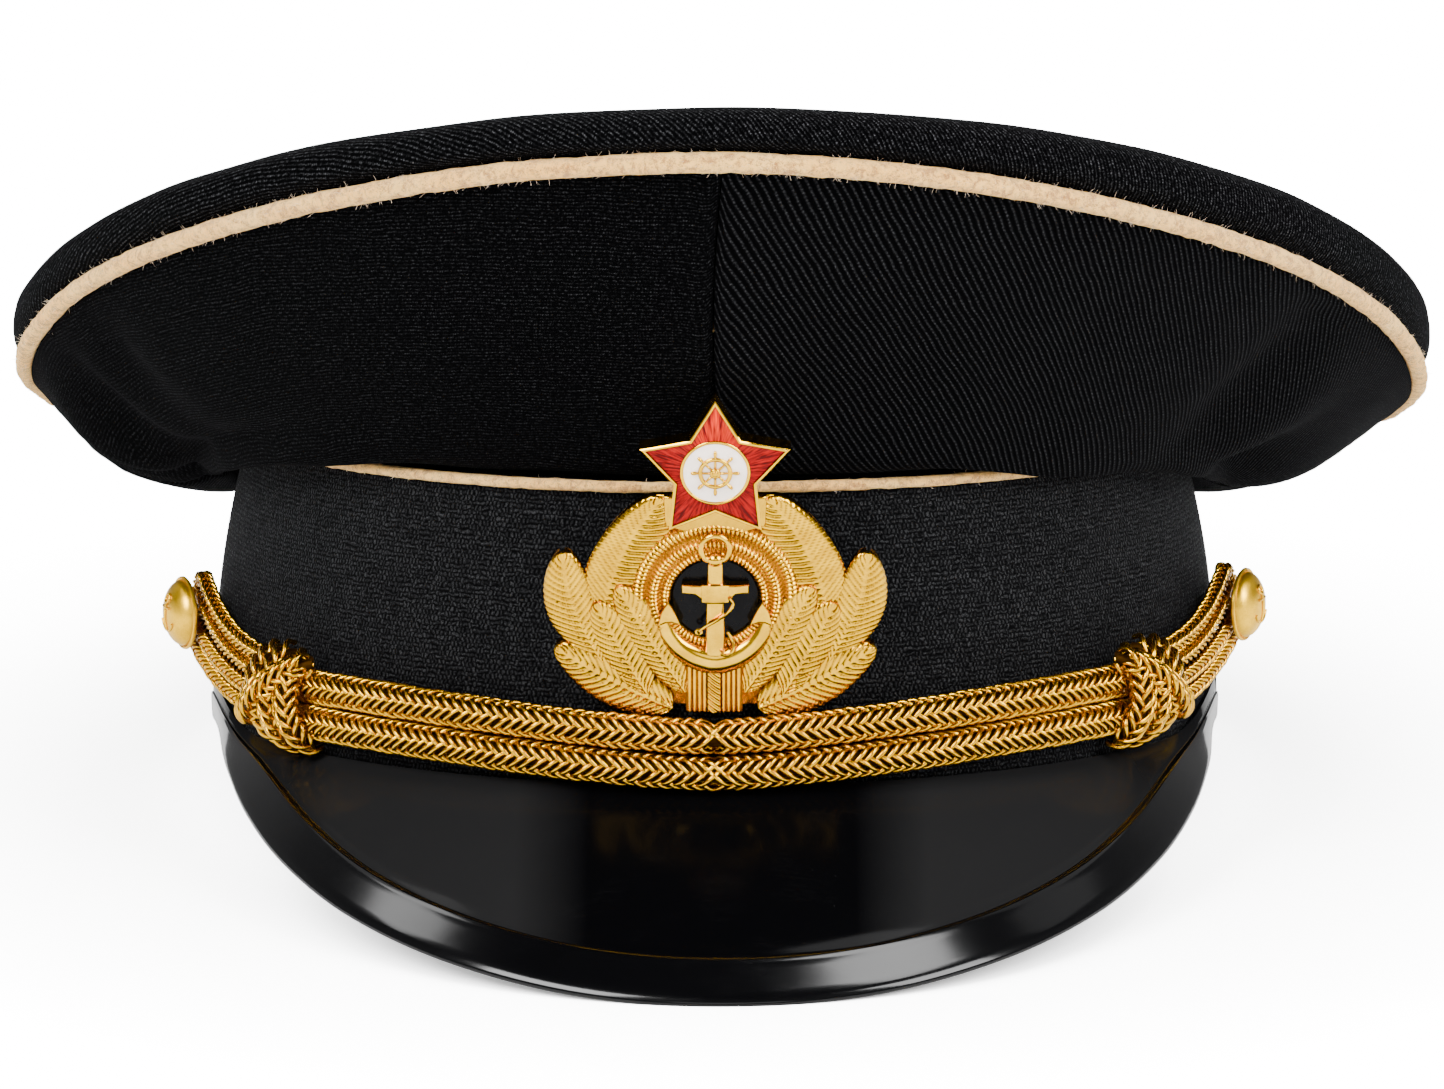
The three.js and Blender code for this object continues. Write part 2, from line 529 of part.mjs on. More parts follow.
const anchor = { low: 2.1, high: 3.5, ringRadius: 2.5, ringWire: 0.6, ringY: 9.2 }
function anchorGeometries() {
  const { low, high } = anchor
  const shackle = new THREE.TorusGeometry(anchor.ringRadius, anchor.ringWire, 5, 12).translate(0, anchor.ringY, high - 0.4)
  const shank = extrude(polygon([[-1.5, 7.4], [-1.7, -10], [1.7, -10], [1.5, 7.4]]), low, high)
  const stock = extrude(polygon([[-5.6, 3.4], [-5.4, 1.6], [0, 0.9], [5.4, 1.6], [5.6, 3.4]]), low, high - 0.2)
  const arms = new THREE.Shape()
  arms.moveTo(-8.1, -3.6).quadraticCurveTo(-7, -9.6, 0, -12.6).quadraticCurveTo(7, -9.6, 8.1, -3.6)
  arms.lineTo(6.1, -3.6).quadraticCurveTo(5, -7.6, 0, -9).quadraticCurveTo(-5, -7.6, -6.1, -3.6)
  const flukes = [-1, 1].map(sign => extrude(
    polygon([[sign * 7.5, -0.2], [sign * 9, -4.8], [sign * 7.3, -4.2], [sign * 5.4, -4.4]]), low, high))
  return [shackle, shank, stock, extrude(arms, low, high, { curveSegments: 6 }), ...flukes]
}

// Small ship's wheel standing in the white enamel
const wheel = { hub: 0.75, outer: 2.75, inner: 2, spokeLength: 7.8, spokeWidth: 0.55, spokeDepth: 0.45, turns: [0, 45, 90, 135] }
function wheelGeometries() {
  const { base, top } = star
  const hub = disc(wheel.hub, base - 0.2, top + 0.5, 12)
  const rim = new THREE.Shape().absarc(0, 0, wheel.outer, 0, 2 * Math.PI)
  rim.holes.push(new THREE.Path().absarc(0, 0, wheel.inner, 0, 2 * Math.PI, true))
  const felloe = extrude(rim, top - 0.1, top + 0.4, { curveSegments: 10 })
  const spokes = wheel.turns.map(turn => new THREE.BoxGeometry(wheel.spokeLength, wheel.spokeWidth, wheel.spokeDepth)
    .rotateZ(radians(turn)).translate(0, 0, top + 0.15))
  return [hub, felloe, ...spokes].map(geometry => geometry.translate(0, star.y, 0))
}

function badgeSolids() {
  const { base, top, discRadius, ringWidth, rim } = star
  const cell = gap / 3                                      // enamel fills its cell almost to the wall
  const starPlate = extrude(starShape(0), 0, top)
  const starWell = solidOf(extrude(starShape(rim), base, top + 1))
  const collar = disc(discRadius + ringWidth, base - 0.1, top).translate(0, star.y, 0)
  const collarBore = solidOf(disc(discRadius, base, top + 1).translate(0, star.y, 0))
  const starFrame = solidOf(starPlate).subtract(starWell).add(solidOf(collar)).subtract(collarBore)
  const stalks = extrude(polygon([[-4.8, -12], [-4.9, -20.4], [4.4, -20.4], [4.3, -12]]), 0, 2.6)
  const apron = extrude(polygon([[-13.2, 0], [-9.5, 17.5], [9.5, 17.5], [13.2, 0]]), 0, 1.3)
  const foot = extrude(polygon([[-16, -14], [-8.6, -19.3], [8.6, -19.3], [16, -14], [8, -6], [-8, -6]]), 0, 1)
  const wreath = [1, -1].flatMap(mirror => leaves.map(leaf => leafGeometry(leaf, mirror)))
  const { hole, floor, enamelTop } = ringProfile
  const centreBore = solidOf(disc(hole, floor, enamelTop))
  let body = fuse([ringsGeometry(), stalks, apron, foot, ...wreath]).subtract(centreBore)
  body = body.add(fuse(anchorGeometries())).add(starFrame).add(fuse(wheelGeometries()))
  const hubClearance = solidOf(disc(wheel.hub + cell, 0, 9, 12).translate(0, star.y, 0))
  const collarOutside = solidOf(disc(discRadius + ringWidth + cell, 0, 9).translate(0, star.y, 0))
  return {
    body,
    red: solidOf(extrude(starShape(rim + cell), base + cell, top - 0.25)).subtract(collarOutside),
    white: solidOf(disc(discRadius - cell, base + cell, top - 0.3).translate(0, star.y, 0)).subtract(hubClearance),
    black: solidOf(disc(hole - cell, floor + cell, enamelTop)),
  }
}

// Bends a badge part round the band, leans it and puts it in its place
function seatBadge(geometry) {
  const position = geometry.attributes.position
  const sin = Math.sin(badge.lean)
  const cos = Math.cos(badge.lean)
  for (let i = 0; i < position.count; i++) {
    const x = position.getX(i)
    const y = position.getY(i)
    const out = position.getZ(i) - badge.back - x * x / (2 * badge.bend)
    position.setXYZ(i, badge.x + x, badge.y - y * sin - out * cos, badge.z + y * cos - out * sin)
  }
  return geometry
}

// The screw post behind the badge, up to the band
function postGeometry() {
  const from = new THREE.Vector3(badge.x, badge.y + 2, badge.z + 0.3)
  const foot = onBand(0, badge.postHeight, gap)
  const to = new THREE.Vector3(badge.x, foot.y, foot.z)
  return rodGeometry([from, from.clone().lerp(to, 0.5), to], badge.postRadius, 10, 2)
}

function addTo(group, name, geometry, finish) {
  geometry.computeVertexNormals()
  const mesh = new THREE.Mesh(geometry, new THREE.MeshStandardMaterial(materials[finish]))
  mesh.name = name
  group.add(mesh)
}

const cap = new THREE.Group()
const crownGroup = new THREE.Group()
addTo(crownGroup, 'crown_top', crownTopGeometry(), 'wool')
addTo(crownGroup, 'crown_wall_front_left', wallGeometry(-90, 0), 'wool')
addTo(crownGroup, 'crown_wall_front_right', wallGeometry(0, 90), 'wool')
addTo(crownGroup, 'crown_wall_back_left', wallGeometry(-180, -90), 'wool')
addTo(crownGroup, 'crown_wall_back_right', wallGeometry(90, 180), 'wool')
addTo(crownGroup, 'crown_piping', ringTube(onWelt, outwardOn, piping.radius, piping.sides), 'welt')
cap.add(crownGroup)

const bandGroup = new THREE.Group()
addTo(bandGroup, 'band', bandGeometry(), 'ribbon')
const pipingCentre = angle => onBand(angle, band.height - piping.belowEdge, piping.bandRadius + gap)
addTo(bandGroup, 'band_piping', ringTube(pipingCentre, outwardOn, piping.bandRadius, piping.bandSides), 'welt')
addTo(bandGroup, 'visor', visorGeometry(), 'lacquer')
cap.add(bandGroup)

const cordGroup = new THREE.Group()
for (const [name, height] of Object.entries(cordHeights)) {
  addTo(cordGroup, `cord_${name}`, geometryOf(solidOf(cordGeometry(height, cord.radius))), 'bullion')
}
for (const [name, sign] of Object.entries(side)) {
  addTo(cordGroup, `knot_${name}`, knotGeometry(sign), 'bullion')
  for (const [lane, row] of Object.entries(loopLanes)) {
    addTo(cordGroup, `loop_${lane}_${name}`, geometryOf(solidOf(loopGeometry(sign, row, loop.radius))), 'bullion')
  }
  addTo(cordGroup, `button_${name}`, buttonGeometry(sign), 'gilt')
}
cap.add(cordGroup)

const badgeGroup = new THREE.Group()
const { body, red, white, black } = badgeSolids()
const bodyOnBand = solidOf(seatBadge(geometryOf(body))).add(solidOf(postGeometry()))
addTo(badgeGroup, 'badge_body', geometryOf(bodyOnBand), 'gilt')
addTo(badgeGroup, 'star_enamel', seatBadge(geometryOf(red)), 'redEnamel')
addTo(badgeGroup, 'star_disc', seatBadge(geometryOf(white)), 'whiteEnamel')
addTo(badgeGroup, 'centre_enamel', seatBadge(geometryOf(black)), 'blackEnamel')
cap.add(badgeGroup)

export default cap
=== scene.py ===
import random
from functools import partialmethod
from math import cos, exp, hypot, pi, radians, sin, sqrt, tanh
import bmesh
import bpy
import numpy as np
from mathutils import Matrix, Vector, noise


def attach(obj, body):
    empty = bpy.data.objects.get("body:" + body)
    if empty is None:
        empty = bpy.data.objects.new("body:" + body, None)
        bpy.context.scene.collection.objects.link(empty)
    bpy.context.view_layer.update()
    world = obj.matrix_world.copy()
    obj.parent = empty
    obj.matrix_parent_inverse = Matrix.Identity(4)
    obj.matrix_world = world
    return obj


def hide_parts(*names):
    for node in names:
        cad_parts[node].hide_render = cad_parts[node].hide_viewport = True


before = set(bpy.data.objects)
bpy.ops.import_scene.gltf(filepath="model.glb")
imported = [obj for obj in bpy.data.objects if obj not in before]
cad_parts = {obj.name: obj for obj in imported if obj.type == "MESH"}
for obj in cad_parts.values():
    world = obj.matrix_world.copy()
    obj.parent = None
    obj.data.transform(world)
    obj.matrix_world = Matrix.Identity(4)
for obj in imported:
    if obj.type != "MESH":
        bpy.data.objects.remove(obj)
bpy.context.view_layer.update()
random.seed(11)
mm = 0.001
up = Vector((0, 0, 1))
fullTurn = 2 * pi
print("frame loaded")

# Shape of the cap, in millimetres; the tables run from the front, 0 degrees, to the rear

band = {
    "x": -1.25, "y": 7.29,  # middle of the band's bottom oval
    "halfWidth": 90.6, "halfLength": 106, "topHalfWidth": 83.2, "topHalfLength": 103.8,
    "height": 51.2, "wall": 3,
    "tilt": radians(7), "sink": 0.8,  # leans back on its rear edge
    "steps": 240, "rows": 26, "waves": 0.12, "waveSize": 17, "perDegree": 1.85,
    "lapDepth": 0.45, "lapEdge": 0.35, "lapFade": 9,  # overlap of the ribbon's ends at the rear
}
crown = {
    "y": 3.29, "halfWidth": 124.4, "halfLength": 132, "wall": 1.5, "steps": 288,
    "sideTilt": -0.0107, "sideRoll": 1.3,  # the right side lies lower, and its rolled rim is fuller
}
weltHeights = {
    "angle": [0, 15, 30, 45, 60, 72, 84, 92, 100, 112, 130, 155, 180],
    "z": [137, 134.3, 127, 116, 101.9, 88.5, 76, 69, 62.5, 58, 55, 54, 54],
    "inward": [0, 0, 0, 0, 0, 0.1, 0.9, 1.8, 2.2, 1.8, 0.5, 0, 0],
}
rimSections = {
    "angle": [0, 45, 80, 100, 180],
    "rise": [8.3, 11, 12.4, 11.2, 9],
    "out": [1.8, 1.8, 1.9, 2, 1.5],
}
wallSections = {  # over the band's edge, beside it, lowest sag, middle
    "angle": [0, 30, 45, 62, 80, 100, 125, 150, 180],
    "overOut": [1.6, 2.1, 2.7, 2.9, 3, 3, 3, 3, 3],
    "overUp": [1.9, 1.6, 1.3, 1.2, 1.1, 1.1, 1.1, 1.1, 1.1],
    "hangOut": [5.2, 4.9, 4.4, 4.2, 3.6, 3, 3, 3.4, 3.8],
    "hangUp": [6.6, 2.6, -1, -3, -6, -9, -10, -8, -7],
    "lowOut": [12.8, 13.6, 14.3, 13.6, 10.6, 6.4, 6.4, 7.2, 7.6],
    "lowUp": [17.2, 13, 8.4, 1.8, -7.4, -16, -18.2, -16, -13.4],
    "midOut": [27, 27.6, 28.2, 29.5, 26.6, 21.2, 17.6, 14.8, 12.6],
    "midUp": [38.2, 31.4, 24.2, 14.8, -2.2, -14.2, -15, -10.2, -8.4],
}
folds = {  # a column for each: right is positive, "at" runs from 0 up to 1
    "angle": [-62, -71, -78, -84, -66, -70, 57, 66, 74, 84, 70, 140, -150],
    "at": [0.84, 0.8, 0.76, 0.7, 0.5, 0.6, 0.78, 0.7, 0.62, 0.72, 0.5, 0.6, 0.65],
    "depth": [2.6, 3.4, -2.4, 2.8, -2.2, 2.4, 3, -2.4, 3, -2.2, -2, 2.4, 2.2],
    "width": [4, 3.2, 3, 2.6, 20, 22, 4, 4, 5, 6, 18, 10, 10],
    "spread": [0.13, 0.15, 0.16, 0.16, 0.05, 0.05, 0.2, 0.16, 0.1, 0.12, 0.05, 0.2, 0.2],
}
visorSections = {
    "angle": [0, 10, 20, 30, 40, 50, 60, 70, 79],
    "reach": [39.2, 37.8, 34.5, 28.6, 21.2, 13.5, 6.7, 2, 0.9],
    "drop": [25.6, 24.7, 21.6, 17.6, 12.9, 8.4, 4.6, 2, 1.1],
}


def fromTable(table, column, degrees):  # a smooth curve through one column
    angles, values = table["angle"], table[column]
    last = len(angles) - 1
    angle = min(max(abs(degrees), angles[0]), angles[last])
    i = max(k for k in range(last) if angles[k] <= angle)

    def slope(k):
        if k in (0, last):
            return 0
        return (values[k + 1] - values[k - 1]) / (angles[k + 1] - angles[k - 1])

    span = angles[i + 1] - angles[i]
    t = (angle - angles[i]) / span
    start, end = 2 * t ** 3 - 3 * t ** 2 + 1, 3 * t ** 2 - 2 * t ** 3
    leave, arrive = t ** 3 - 2 * t ** 2 + t, t ** 3 - t ** 2
    return start * values[i] + end * values[i + 1] + span * (leave * slope(i) + arrive * slope(i + 1))


def ovalNormal(angle, halfWidth, halfLength):
    return Vector((sin(angle) / halfWidth, -cos(angle) / halfLength, 0)).normalized()


def onBand(degrees, height, out=0):  # a point on the leaning band
    angle = radians(degrees)
    k = (max(0, height) / band["height"]) ** 2  # the flank curves in towards the top
    halfWidth = band["halfWidth"] + (band["topHalfWidth"] - band["halfWidth"]) * k
    halfLength = band["halfLength"] + (band["topHalfLength"] - band["halfLength"]) * k
    normal = ovalNormal(angle, halfWidth, halfLength)
    x = halfWidth * sin(angle) + out * normal.x
    back = -halfLength * cos(angle) + out * normal.y - band["halfLength"]
    y = band["halfLength"] + back * cos(band["tilt"]) + height * sin(band["tilt"])
    z = -back * sin(band["tilt"]) + height * cos(band["tilt"]) - band["sink"]
    return Vector((band["x"] + x, band["y"] + y, z))


def outwardOn(degrees):
    return ovalNormal(radians(degrees), crown["halfWidth"], crown["halfLength"])


def onWelt(degrees, out=0, rise=0):  # a point beside the crown welt's centre line
    angle = radians(degrees)
    x = crown["halfWidth"] * sin(angle)
    z = fromTable(weltHeights, "z", degrees) + crown["sideTilt"] * x
    centre = Vector((x, crown["y"] - crown["halfLength"] * cos(angle), z))
    return centre + outwardOn(degrees) * (out - fromTable(weltHeights, "inward", degrees)) + up * rise


def alongCurve(points, at):  # a smooth line through the points, and its direction
    count = len(points) - 1
    place = min(max(at, 0), 1) * count
    i = min(int(place), count - 1)
    t = place - i
    p1, p2 = points[i], points[i + 1]
    p0 = points[i - 1] if i > 0 else p1 * 2 - p2
    p3 = points[i + 2] if i + 2 <= count else p2 * 2 - p1
    d0, d1, d2 = (max((b - a).length, 1e-4) ** 0.5 for a, b in ((p0, p1), (p1, p2), (p2, p3)))
    leave = ((p1 - p0) / d0 - (p2 - p0) / (d0 + d1) + (p2 - p1) / d1) * d1
    arrive = ((p2 - p1) / d1 - (p3 - p1) / (d1 + d2) + (p3 - p2) / d2) * d1
    c2 = p1 * -3 + p2 * 3 - leave * 2 - arrive
    c3 = p1 * 2 - p2 * 2 + leave + arrive
    return p1 + leave * t + c2 * t ** 2 + c3 * t ** 3, leave + c2 * (2 * t) + c3 * (3 * t ** 2)


def smoothStep(value, low, high):
    t = min(max((value - low) / (high - low), 0), 1)
    return t * t * (3 - 2 * t)


def spread(start, end, steps):
    return [start + (end - start) * i / steps for i in range(steps + 1)]


def headAngles(steps):  # degrees round the head, the left side negative
    turns = [k * 360 / steps for k in range(steps)]
    return [turn - 360 if turn > 180 else turn for turn in turns]


def softNoise(point, size):
    return noise.noise(point / size)


def lengthsAlong(points, axis=0):  # how far along its row each point lies
    steps = np.diff(points, axis=axis, prepend=np.take(points, [0], axis))
    return np.cumsum(np.linalg.norm(steps, axis=-1), axis)


# Making pieces

def loft(sections, closed=False, uvAt=None, shadeAt=None, unit=mm):  # a sheet laid over rows of points
    columns = len(sections) if closed else len(sections) - 1
    rows = len(sections[0]) - 1
    shape = bmesh.new()
    bmesh.ops.create_grid(shape, x_segments=columns, y_segments=rows, size=0.5)
    layer = shape.loops.layers.uv.new("cloth")
    paintedShade = shape.verts.layers.float.new("paintedShade")
    spots = {v: (round((v.co.x + 0.5) * columns), round((v.co.y + 0.5) * rows)) for v in shape.verts}
    if uvAt:
        for face in shape.faces:
            for loop in face.loops:
                loop[layer].uv = uvAt(*spots[loop.vert])
    for vert, (i, j) in spots.items():
        if shadeAt:  # painted shade: 1 on the high metal, 0 down in the hollows where shade falls
            vert[paintedShade] = shadeAt(i, j)
        vert.co = sections[i % len(sections)][j] * unit
    bmesh.ops.remove_doubles(shape, verts=shape.verts, dist=2 * mm * unit)
    return shape


def pointOutward(shape):
    bmesh.ops.recalc_face_normals(shape, faces=shape.faces)
    return shape


def addObject(name, data):
    thing = bpy.data.objects.new(name, data)
    bpy.context.scene.collection.objects.link(thing)
    return thing


def dress(name, mesh, material, replaced):
    mesh.materials.append(material)
    mesh.shade_smooth()
    piece = addObject(name, mesh)
    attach(piece, "root")
    if replaced:
        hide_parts(*replaced)
    return piece


def addPiece(name, shape, material, replaced=(), sharp=None):
    mesh = bpy.data.meshes.new(name)
    shape.to_mesh(mesh)
    shape.free()
    piece = dress(name, mesh, material, replaced)
    if sharp:
        mesh.set_sharp_from_angle(angle=radians(sharp))
    return piece


def thicken(piece, thickness):
    wall = piece.modifiers.new("wall", "SOLIDIFY")
    wall.thickness = thickness * mm
    wall.offset = -1
    wall.use_even_offset = False
    return piece


def addWires(name, strands, radius, material, replaced=(), sides=1, taper=None):
    line = bpy.data.curves.new(name + "Line", "CURVE")
    line.dimensions = "3D"
    line.bevel_depth = radius * mm
    line.bevel_resolution = sides
    line.use_fill_caps = True
    for points in strands:
        spline = line.splines.new("POLY")
        spline.points.add(len(points) - 1)
        spline.points.foreach_set("co", [c for p in points for c in (p.x * mm, p.y * mm, p.z * mm, 1)])
        if taper:
            spline.points.foreach_set("radius", taper)
    helper = addObject(name + "Line", line)
    bpy.context.view_layer.update()
    mesh = bpy.data.meshes.new_from_object(helper.evaluated_get(bpy.context.evaluated_depsgraph_get()))
    bpy.data.objects.remove(helper)
    bpy.data.curves.remove(line)
    mesh.name = name
    mesh.materials.clear()
    dress(name, mesh, material, replaced)


# Shader helpers and groups

class Term:  # a node's output, with which sums can be written
    def __init__(self, tree, socket):
        self.tree = tree
        self.socket = socket

    def calc(self, operation, *terms, clamp=False):
        inputs = dict(enumerate((self, *terms)))
        return addNode(self.tree, "Math", inputs, operation=operation, use_clamp=clamp)

    __add__ = partialmethod(calc, "ADD")
    __sub__ = partialmethod(calc, "SUBTRACT")
    __mul__ = partialmethod(calc, "MULTIPLY")
    __truediv__ = partialmethod(calc, "DIVIDE")
    __pow__ = partialmethod(calc, "POWER")


def feed(socket, term):
    if isinstance(term, Term):
        term.tree.links.new(term.socket, socket)
    elif socket.type == "RGBA":
        socket.default_value = (*term, 1)
    else:
        socket.default_value = term


def addNode(tree, kind, inputs, out=0, **settings):  # gives one output, or those named in a tuple
    node = tree.nodes.new("ShaderNode" + kind)
    for key, value in settings.items():
        setattr(node, key, value)
    for key, term in inputs.items():
        feed(node.inputs[key], term)
    if isinstance(out, tuple):
        return [Term(tree, node.outputs[label]) for label in out]
    return Term(tree, node.outputs[out])


def speckle(place, scale, detail=2.0, rough=0.5, distortion=0.0, out="Fac"):
    return addNode(place.tree, "TexNoise", {
        "Vector": place, "Scale": scale, "Detail": detail, "Roughness": rough, "Distortion": distortion}, out)


def scaled(vector, factor):
    return addNode(vector.tree, "VectorMath", {0: vector, "Scale": factor}, operation="SCALE")


def moved(vector, turn, scale):
    return addNode(vector.tree, "Mapping", {"Vector": vector, "Rotation": turn, "Scale": scale})


def partsOf(vector):
    return addNode(vector.tree, "SeparateXYZ", {"Vector": vector}, ("X", "Y", "Z"))


def blend(factor, first, second):
    return addNode(factor.tree, "Mix", {"Factor": factor, 6: first, 7: second}, 2, data_type="RGBA")


def remap(value, low, high, newLow=0.0, newHigh=1.0):
    return addNode(value.tree, "MapRange", {
        "Value": value, "From Min": low, "From Max": high, "To Min": newLow, "To Max": newHigh})


def wave(turns):  # from 0 to 1 and back in each turn
    return (turns * fullTurn).calc("SINE") * 0.5 + 0.5


def hump(turns):  # up and down once in each cell
    return (turns.calc("FRACT") * pi).calc("SINE")


def makeGroup(name, work, **inputs):  # an effect with named inputs
    tree = bpy.data.node_groups.new(name, "ShaderNodeTree")
    tree.interface.new_socket("Vector", in_out="INPUT", socket_type="NodeSocketVector")
    for label, value in inputs.items():
        tree.interface.new_socket(label, in_out="INPUT", socket_type="NodeSocketFloat").default_value = value
    given = tree.nodes.new("NodeGroupInput").outputs
    results = work(*(Term(tree, given[label]) for label in ("Vector", *inputs)))
    for label in results:
        tree.interface.new_socket(label, in_out="OUTPUT", socket_type="NodeSocketFloat")
    sockets = tree.nodes.new("NodeGroupOutput").inputs
    for label, term in results.items():
        feed(sockets[label], term)
    return tree


def useGroup(group, place, **terms):
    node = place.tree.nodes.new("ShaderNodeGroup")
    node.node_tree = group
    for key, term in {"Vector": place, **terms}.items():
        feed(node.inputs[key], term)
    return {socket.name: Term(place.tree, socket) for socket in node.outputs}


def twillLines(place, turn, pitch, waver, crepe):  # slanting wales, with the yarns along each wale
    turned = addNode(place.tree, "VectorRotate", {"Vector": place, "Angle": turn}, rotation_type="Z_AXIS")
    x, y, _ = partsOf(turned)
    drift = (speckle(place, 0.09) - 0.5) * 6.0
    jitter = speckle(place, 1.6, 1.0) - 0.5
    across = (y + drift * waver + jitter * waver) / pitch
    lane = addNode(place.tree, "TexWhiteNoise", {"W": (across + 0.25).calc("FLOOR")}, noise_dimensions="1D")
    yarn = wave(x / (pitch * 0.62) + lane * 5.0)
    fuzz = speckle(place, 3.2, 3.0, 0.65)
    grains = remap(speckle(place, 1.5, 2.0, 0.7), 0.42, 0.6)
    wale = wave(across)
    wale = wale + (grains - wale) * crepe
    height = wale * (yarn * 0.35 + 0.65) + fuzz * 0.45
    shade = wale ** 4.5 * remap(yarn, 0.0, 1.0, 0.35, 1.0) * remap(fuzz, 0.38, 0.68, 0.1, 1.5)
    return {"Height": height, "Shade": shade}


def ribbonThreads(place, cell, waver):  # small cells, each with a thread lying across or upright
    tree = place.tree
    cloud = speckle(place, 0.8, out="Color")
    shift = scaled(addNode(tree, "VectorMath", {0: cloud, 1: (0.5, 0.5, 0.5)}, operation="SUBTRACT"), waver)
    x, y, _ = partsOf(addNode(tree, "VectorMath", {0: place, 1: shift}, operation="ADD"))
    row = y / cell
    rowIndex = row.calc("FLOOR")
    column = x / cell + rowIndex.calc("FLOORED_MODULO", 2.0) * 0.5
    each = addNode(tree, "CombineXYZ", {"X": column.calc("FLOOR"), "Y": rowIndex})
    odd = addNode(tree, "TexWhiteNoise", {"Vector": each}, noise_dimensions="2D")
    lying = hump(row) ** 2.5 * hump(column) ** 0.4
    standing = hump(column) ** 2.5 * hump(row) ** 0.4
    thread = lying + (standing - lying) * odd.calc("GREATER_THAN", 0.36)
    fuzz = speckle(place, 4.5, 2.0, 0.6)
    strength = remap((odd * 7.0).calc("FRACT"), 0.0, 1.0, 0.35, 1.0)
    return {"Height": thread + fuzz * 0.35, "Shade": thread * strength * remap(fuzz, 0.36, 0.64, 0.0, 1.7)}


def feltMats(place, size):  # matted wool with pits and short creases
    place = scaled(place, size ** -1.0)
    mats = speckle(place, 0.55, 4.0, 0.6, 0.6)
    hairs = speckle(place, 2.6, 4.0, 0.7, 1.4)
    pits = addNode(place.tree, "TexVoronoi", {"Vector": place, "Scale": 0.8}, "Distance")
    height = hairs * 0.55 + mats * 0.6 + remap(pits, 0.0, 0.35) * 0.25
    return {"Height": height, "Shade": (hairs + mats) * 0.5}


def metalSkinMarks(place, grain):  # tarnish, grain and fine rubbing of gilded metal
    place = scaled(place, grain ** -1.0)
    cloud = speckle(place, 0.35, 3.0, 0.55)
    grit = speckle(place, 6.0, 3.0, 0.6)
    rub = speckle(moved(place, (0.2, 0.4, 0.6), (0.6, 7.0, 3.0)), 0.9)
    return {"Height": grit + rub * 0.3, "Tone": grit * 0.35 + cloud * 0.65, "Matt": (rub + cloud) * 0.5}


def dustMarks(place, amount):  # lint specks and hairline scratches
    near, colour = addNode(place.tree, "TexVoronoi", {"Vector": place, "Scale": 0.32}, ("Distance", "Color"))
    size = addNode(place.tree, "SeparateColor", {"Color": colour}, "Red") * amount
    streaks = [speckle(moved(place, (0, 0, turn), (length, 1.1, 0.3)), 1.6, 3.0, 0.6, 0.4)
               for turn, length in ((0.35, 0.02), (-0.6, 0.03), (1.3, 0.025))]
    first, second, third = (streak.calc("COMPARE", 0.55, 0.004) for streak in streaks)
    scratches = first.calc("MAXIMUM", second).calc("MAXIMUM", third)
    broken = remap(speckle(place, 0.12), 0.5, 0.62)
    return {"Specks": near.calc("LESS_THAN", size * 0.09), "Scratches": scratches * broken}


twill = makeGroup("twill", twillLines, Turn=0.0, Pitch=1.0, Waver=0.3, Crepe=0.2)
ribbonWeave = makeGroup("ribbonWeave", ribbonThreads, Cell=1.2, Waver=0.25)
felt = makeGroup("felt", feltMats, Size=1.0)
metalSkin = makeGroup("metalSkin", metalSkinMarks, Grain=1.0)
dust = makeGroup("dust", dustMarks, Amount=0.5)


def newMaterial(name, **sockets):
    material = bpy.data.materials.new(name)
    material.use_nodes = True
    for label, value in sockets.items():
        feed(material.node_tree.nodes["Principled BSDF"].inputs[label.replace("_", " ")], value)
    return material, material.node_tree


def finishMaterial(material, colour, rough=None, height=None, depth=0.0, strength=1.0):
    shader = material.node_tree.nodes["Principled BSDF"].inputs
    feed(shader["Base Color"], colour)
    if rough:
        feed(shader["Roughness"], rough)
    if height:
        bump = {"Height": height, "Distance": depth * mm, "Strength": strength}
        feed(shader["Normal"], addNode(material.node_tree, "Bump", bump))
    return material


def objectPlace(tree):  # place on the cap, in millimetres
    return scaled(addNode(tree, "TexCoord", {}, "Object"), 1000.0)


def clothPlace(tree):  # place on the flat cut of the cloth, or up and across the badge
    return addNode(tree, "UVMap", {}, uv_map="cloth")


def clothMaterial(name, weave, bright, rough, depth, sheen, shine, **terms):
    material, tree = newMaterial(
        name, Specular_IOR_Level=shine,
        Sheen_Weight=sheen[0], Sheen_Roughness=sheen[1], Sheen_Tint=(0.8, 0.82, sheen[2]))
    lines = useGroup(weave, clothPlace(tree), **terms)
    shade = lines["Shade"].calc("MULTIPLY", 1.0, clamp=True)
    colour = blend(shade, (0.0003, 0.0003, 0.0004), bright)
    return finishMaterial(material, colour, remap(shade, 0.0, 1.0, *rough), lines["Height"], depth)


def woolMaterial(name, turn, pitch, light, crepe, waver):
    bright = (light, light * 1.01, light * 1.08)
    return clothMaterial(
        name, twill, bright, rough=(1.0, 0.75), depth=0.16, sheen=(0.003, 0.5, 0.88), shine=0.01,
        Turn=radians(turn), Pitch=pitch, Waver=waver, Crepe=crepe)


def feltMaterial():
    material, tree = newMaterial(
        "creamFelt", Roughness=0.95, Specular_IOR_Level=0.1,
        Sheen_Weight=0.7, Sheen_Roughness=0.6, Sheen_Tint=(1, 0.8, 0.5),
        Subsurface_Weight=0.08, Subsurface_Radius=(0.6, 0.4, 0.25), Subsurface_Scale=0.001)
    place = objectPlace(tree)
    mats = useGroup(felt, place, Size=0.7)
    pale = blend(remap(speckle(place, 0.12, 3.0), 0.35, 0.65), (1.0, 0.5, 0.07), (1.0, 0.58, 0.13))
    # painted shade: the dark brown where the mats lie low stands in for shade in the creases and pits
    colour = blend(remap(mats["Shade"], 0.43, 0.53), (0.38, 0.12, 0.005), pale)
    return finishMaterial(material, colour, None, mats["Height"], 1.0)


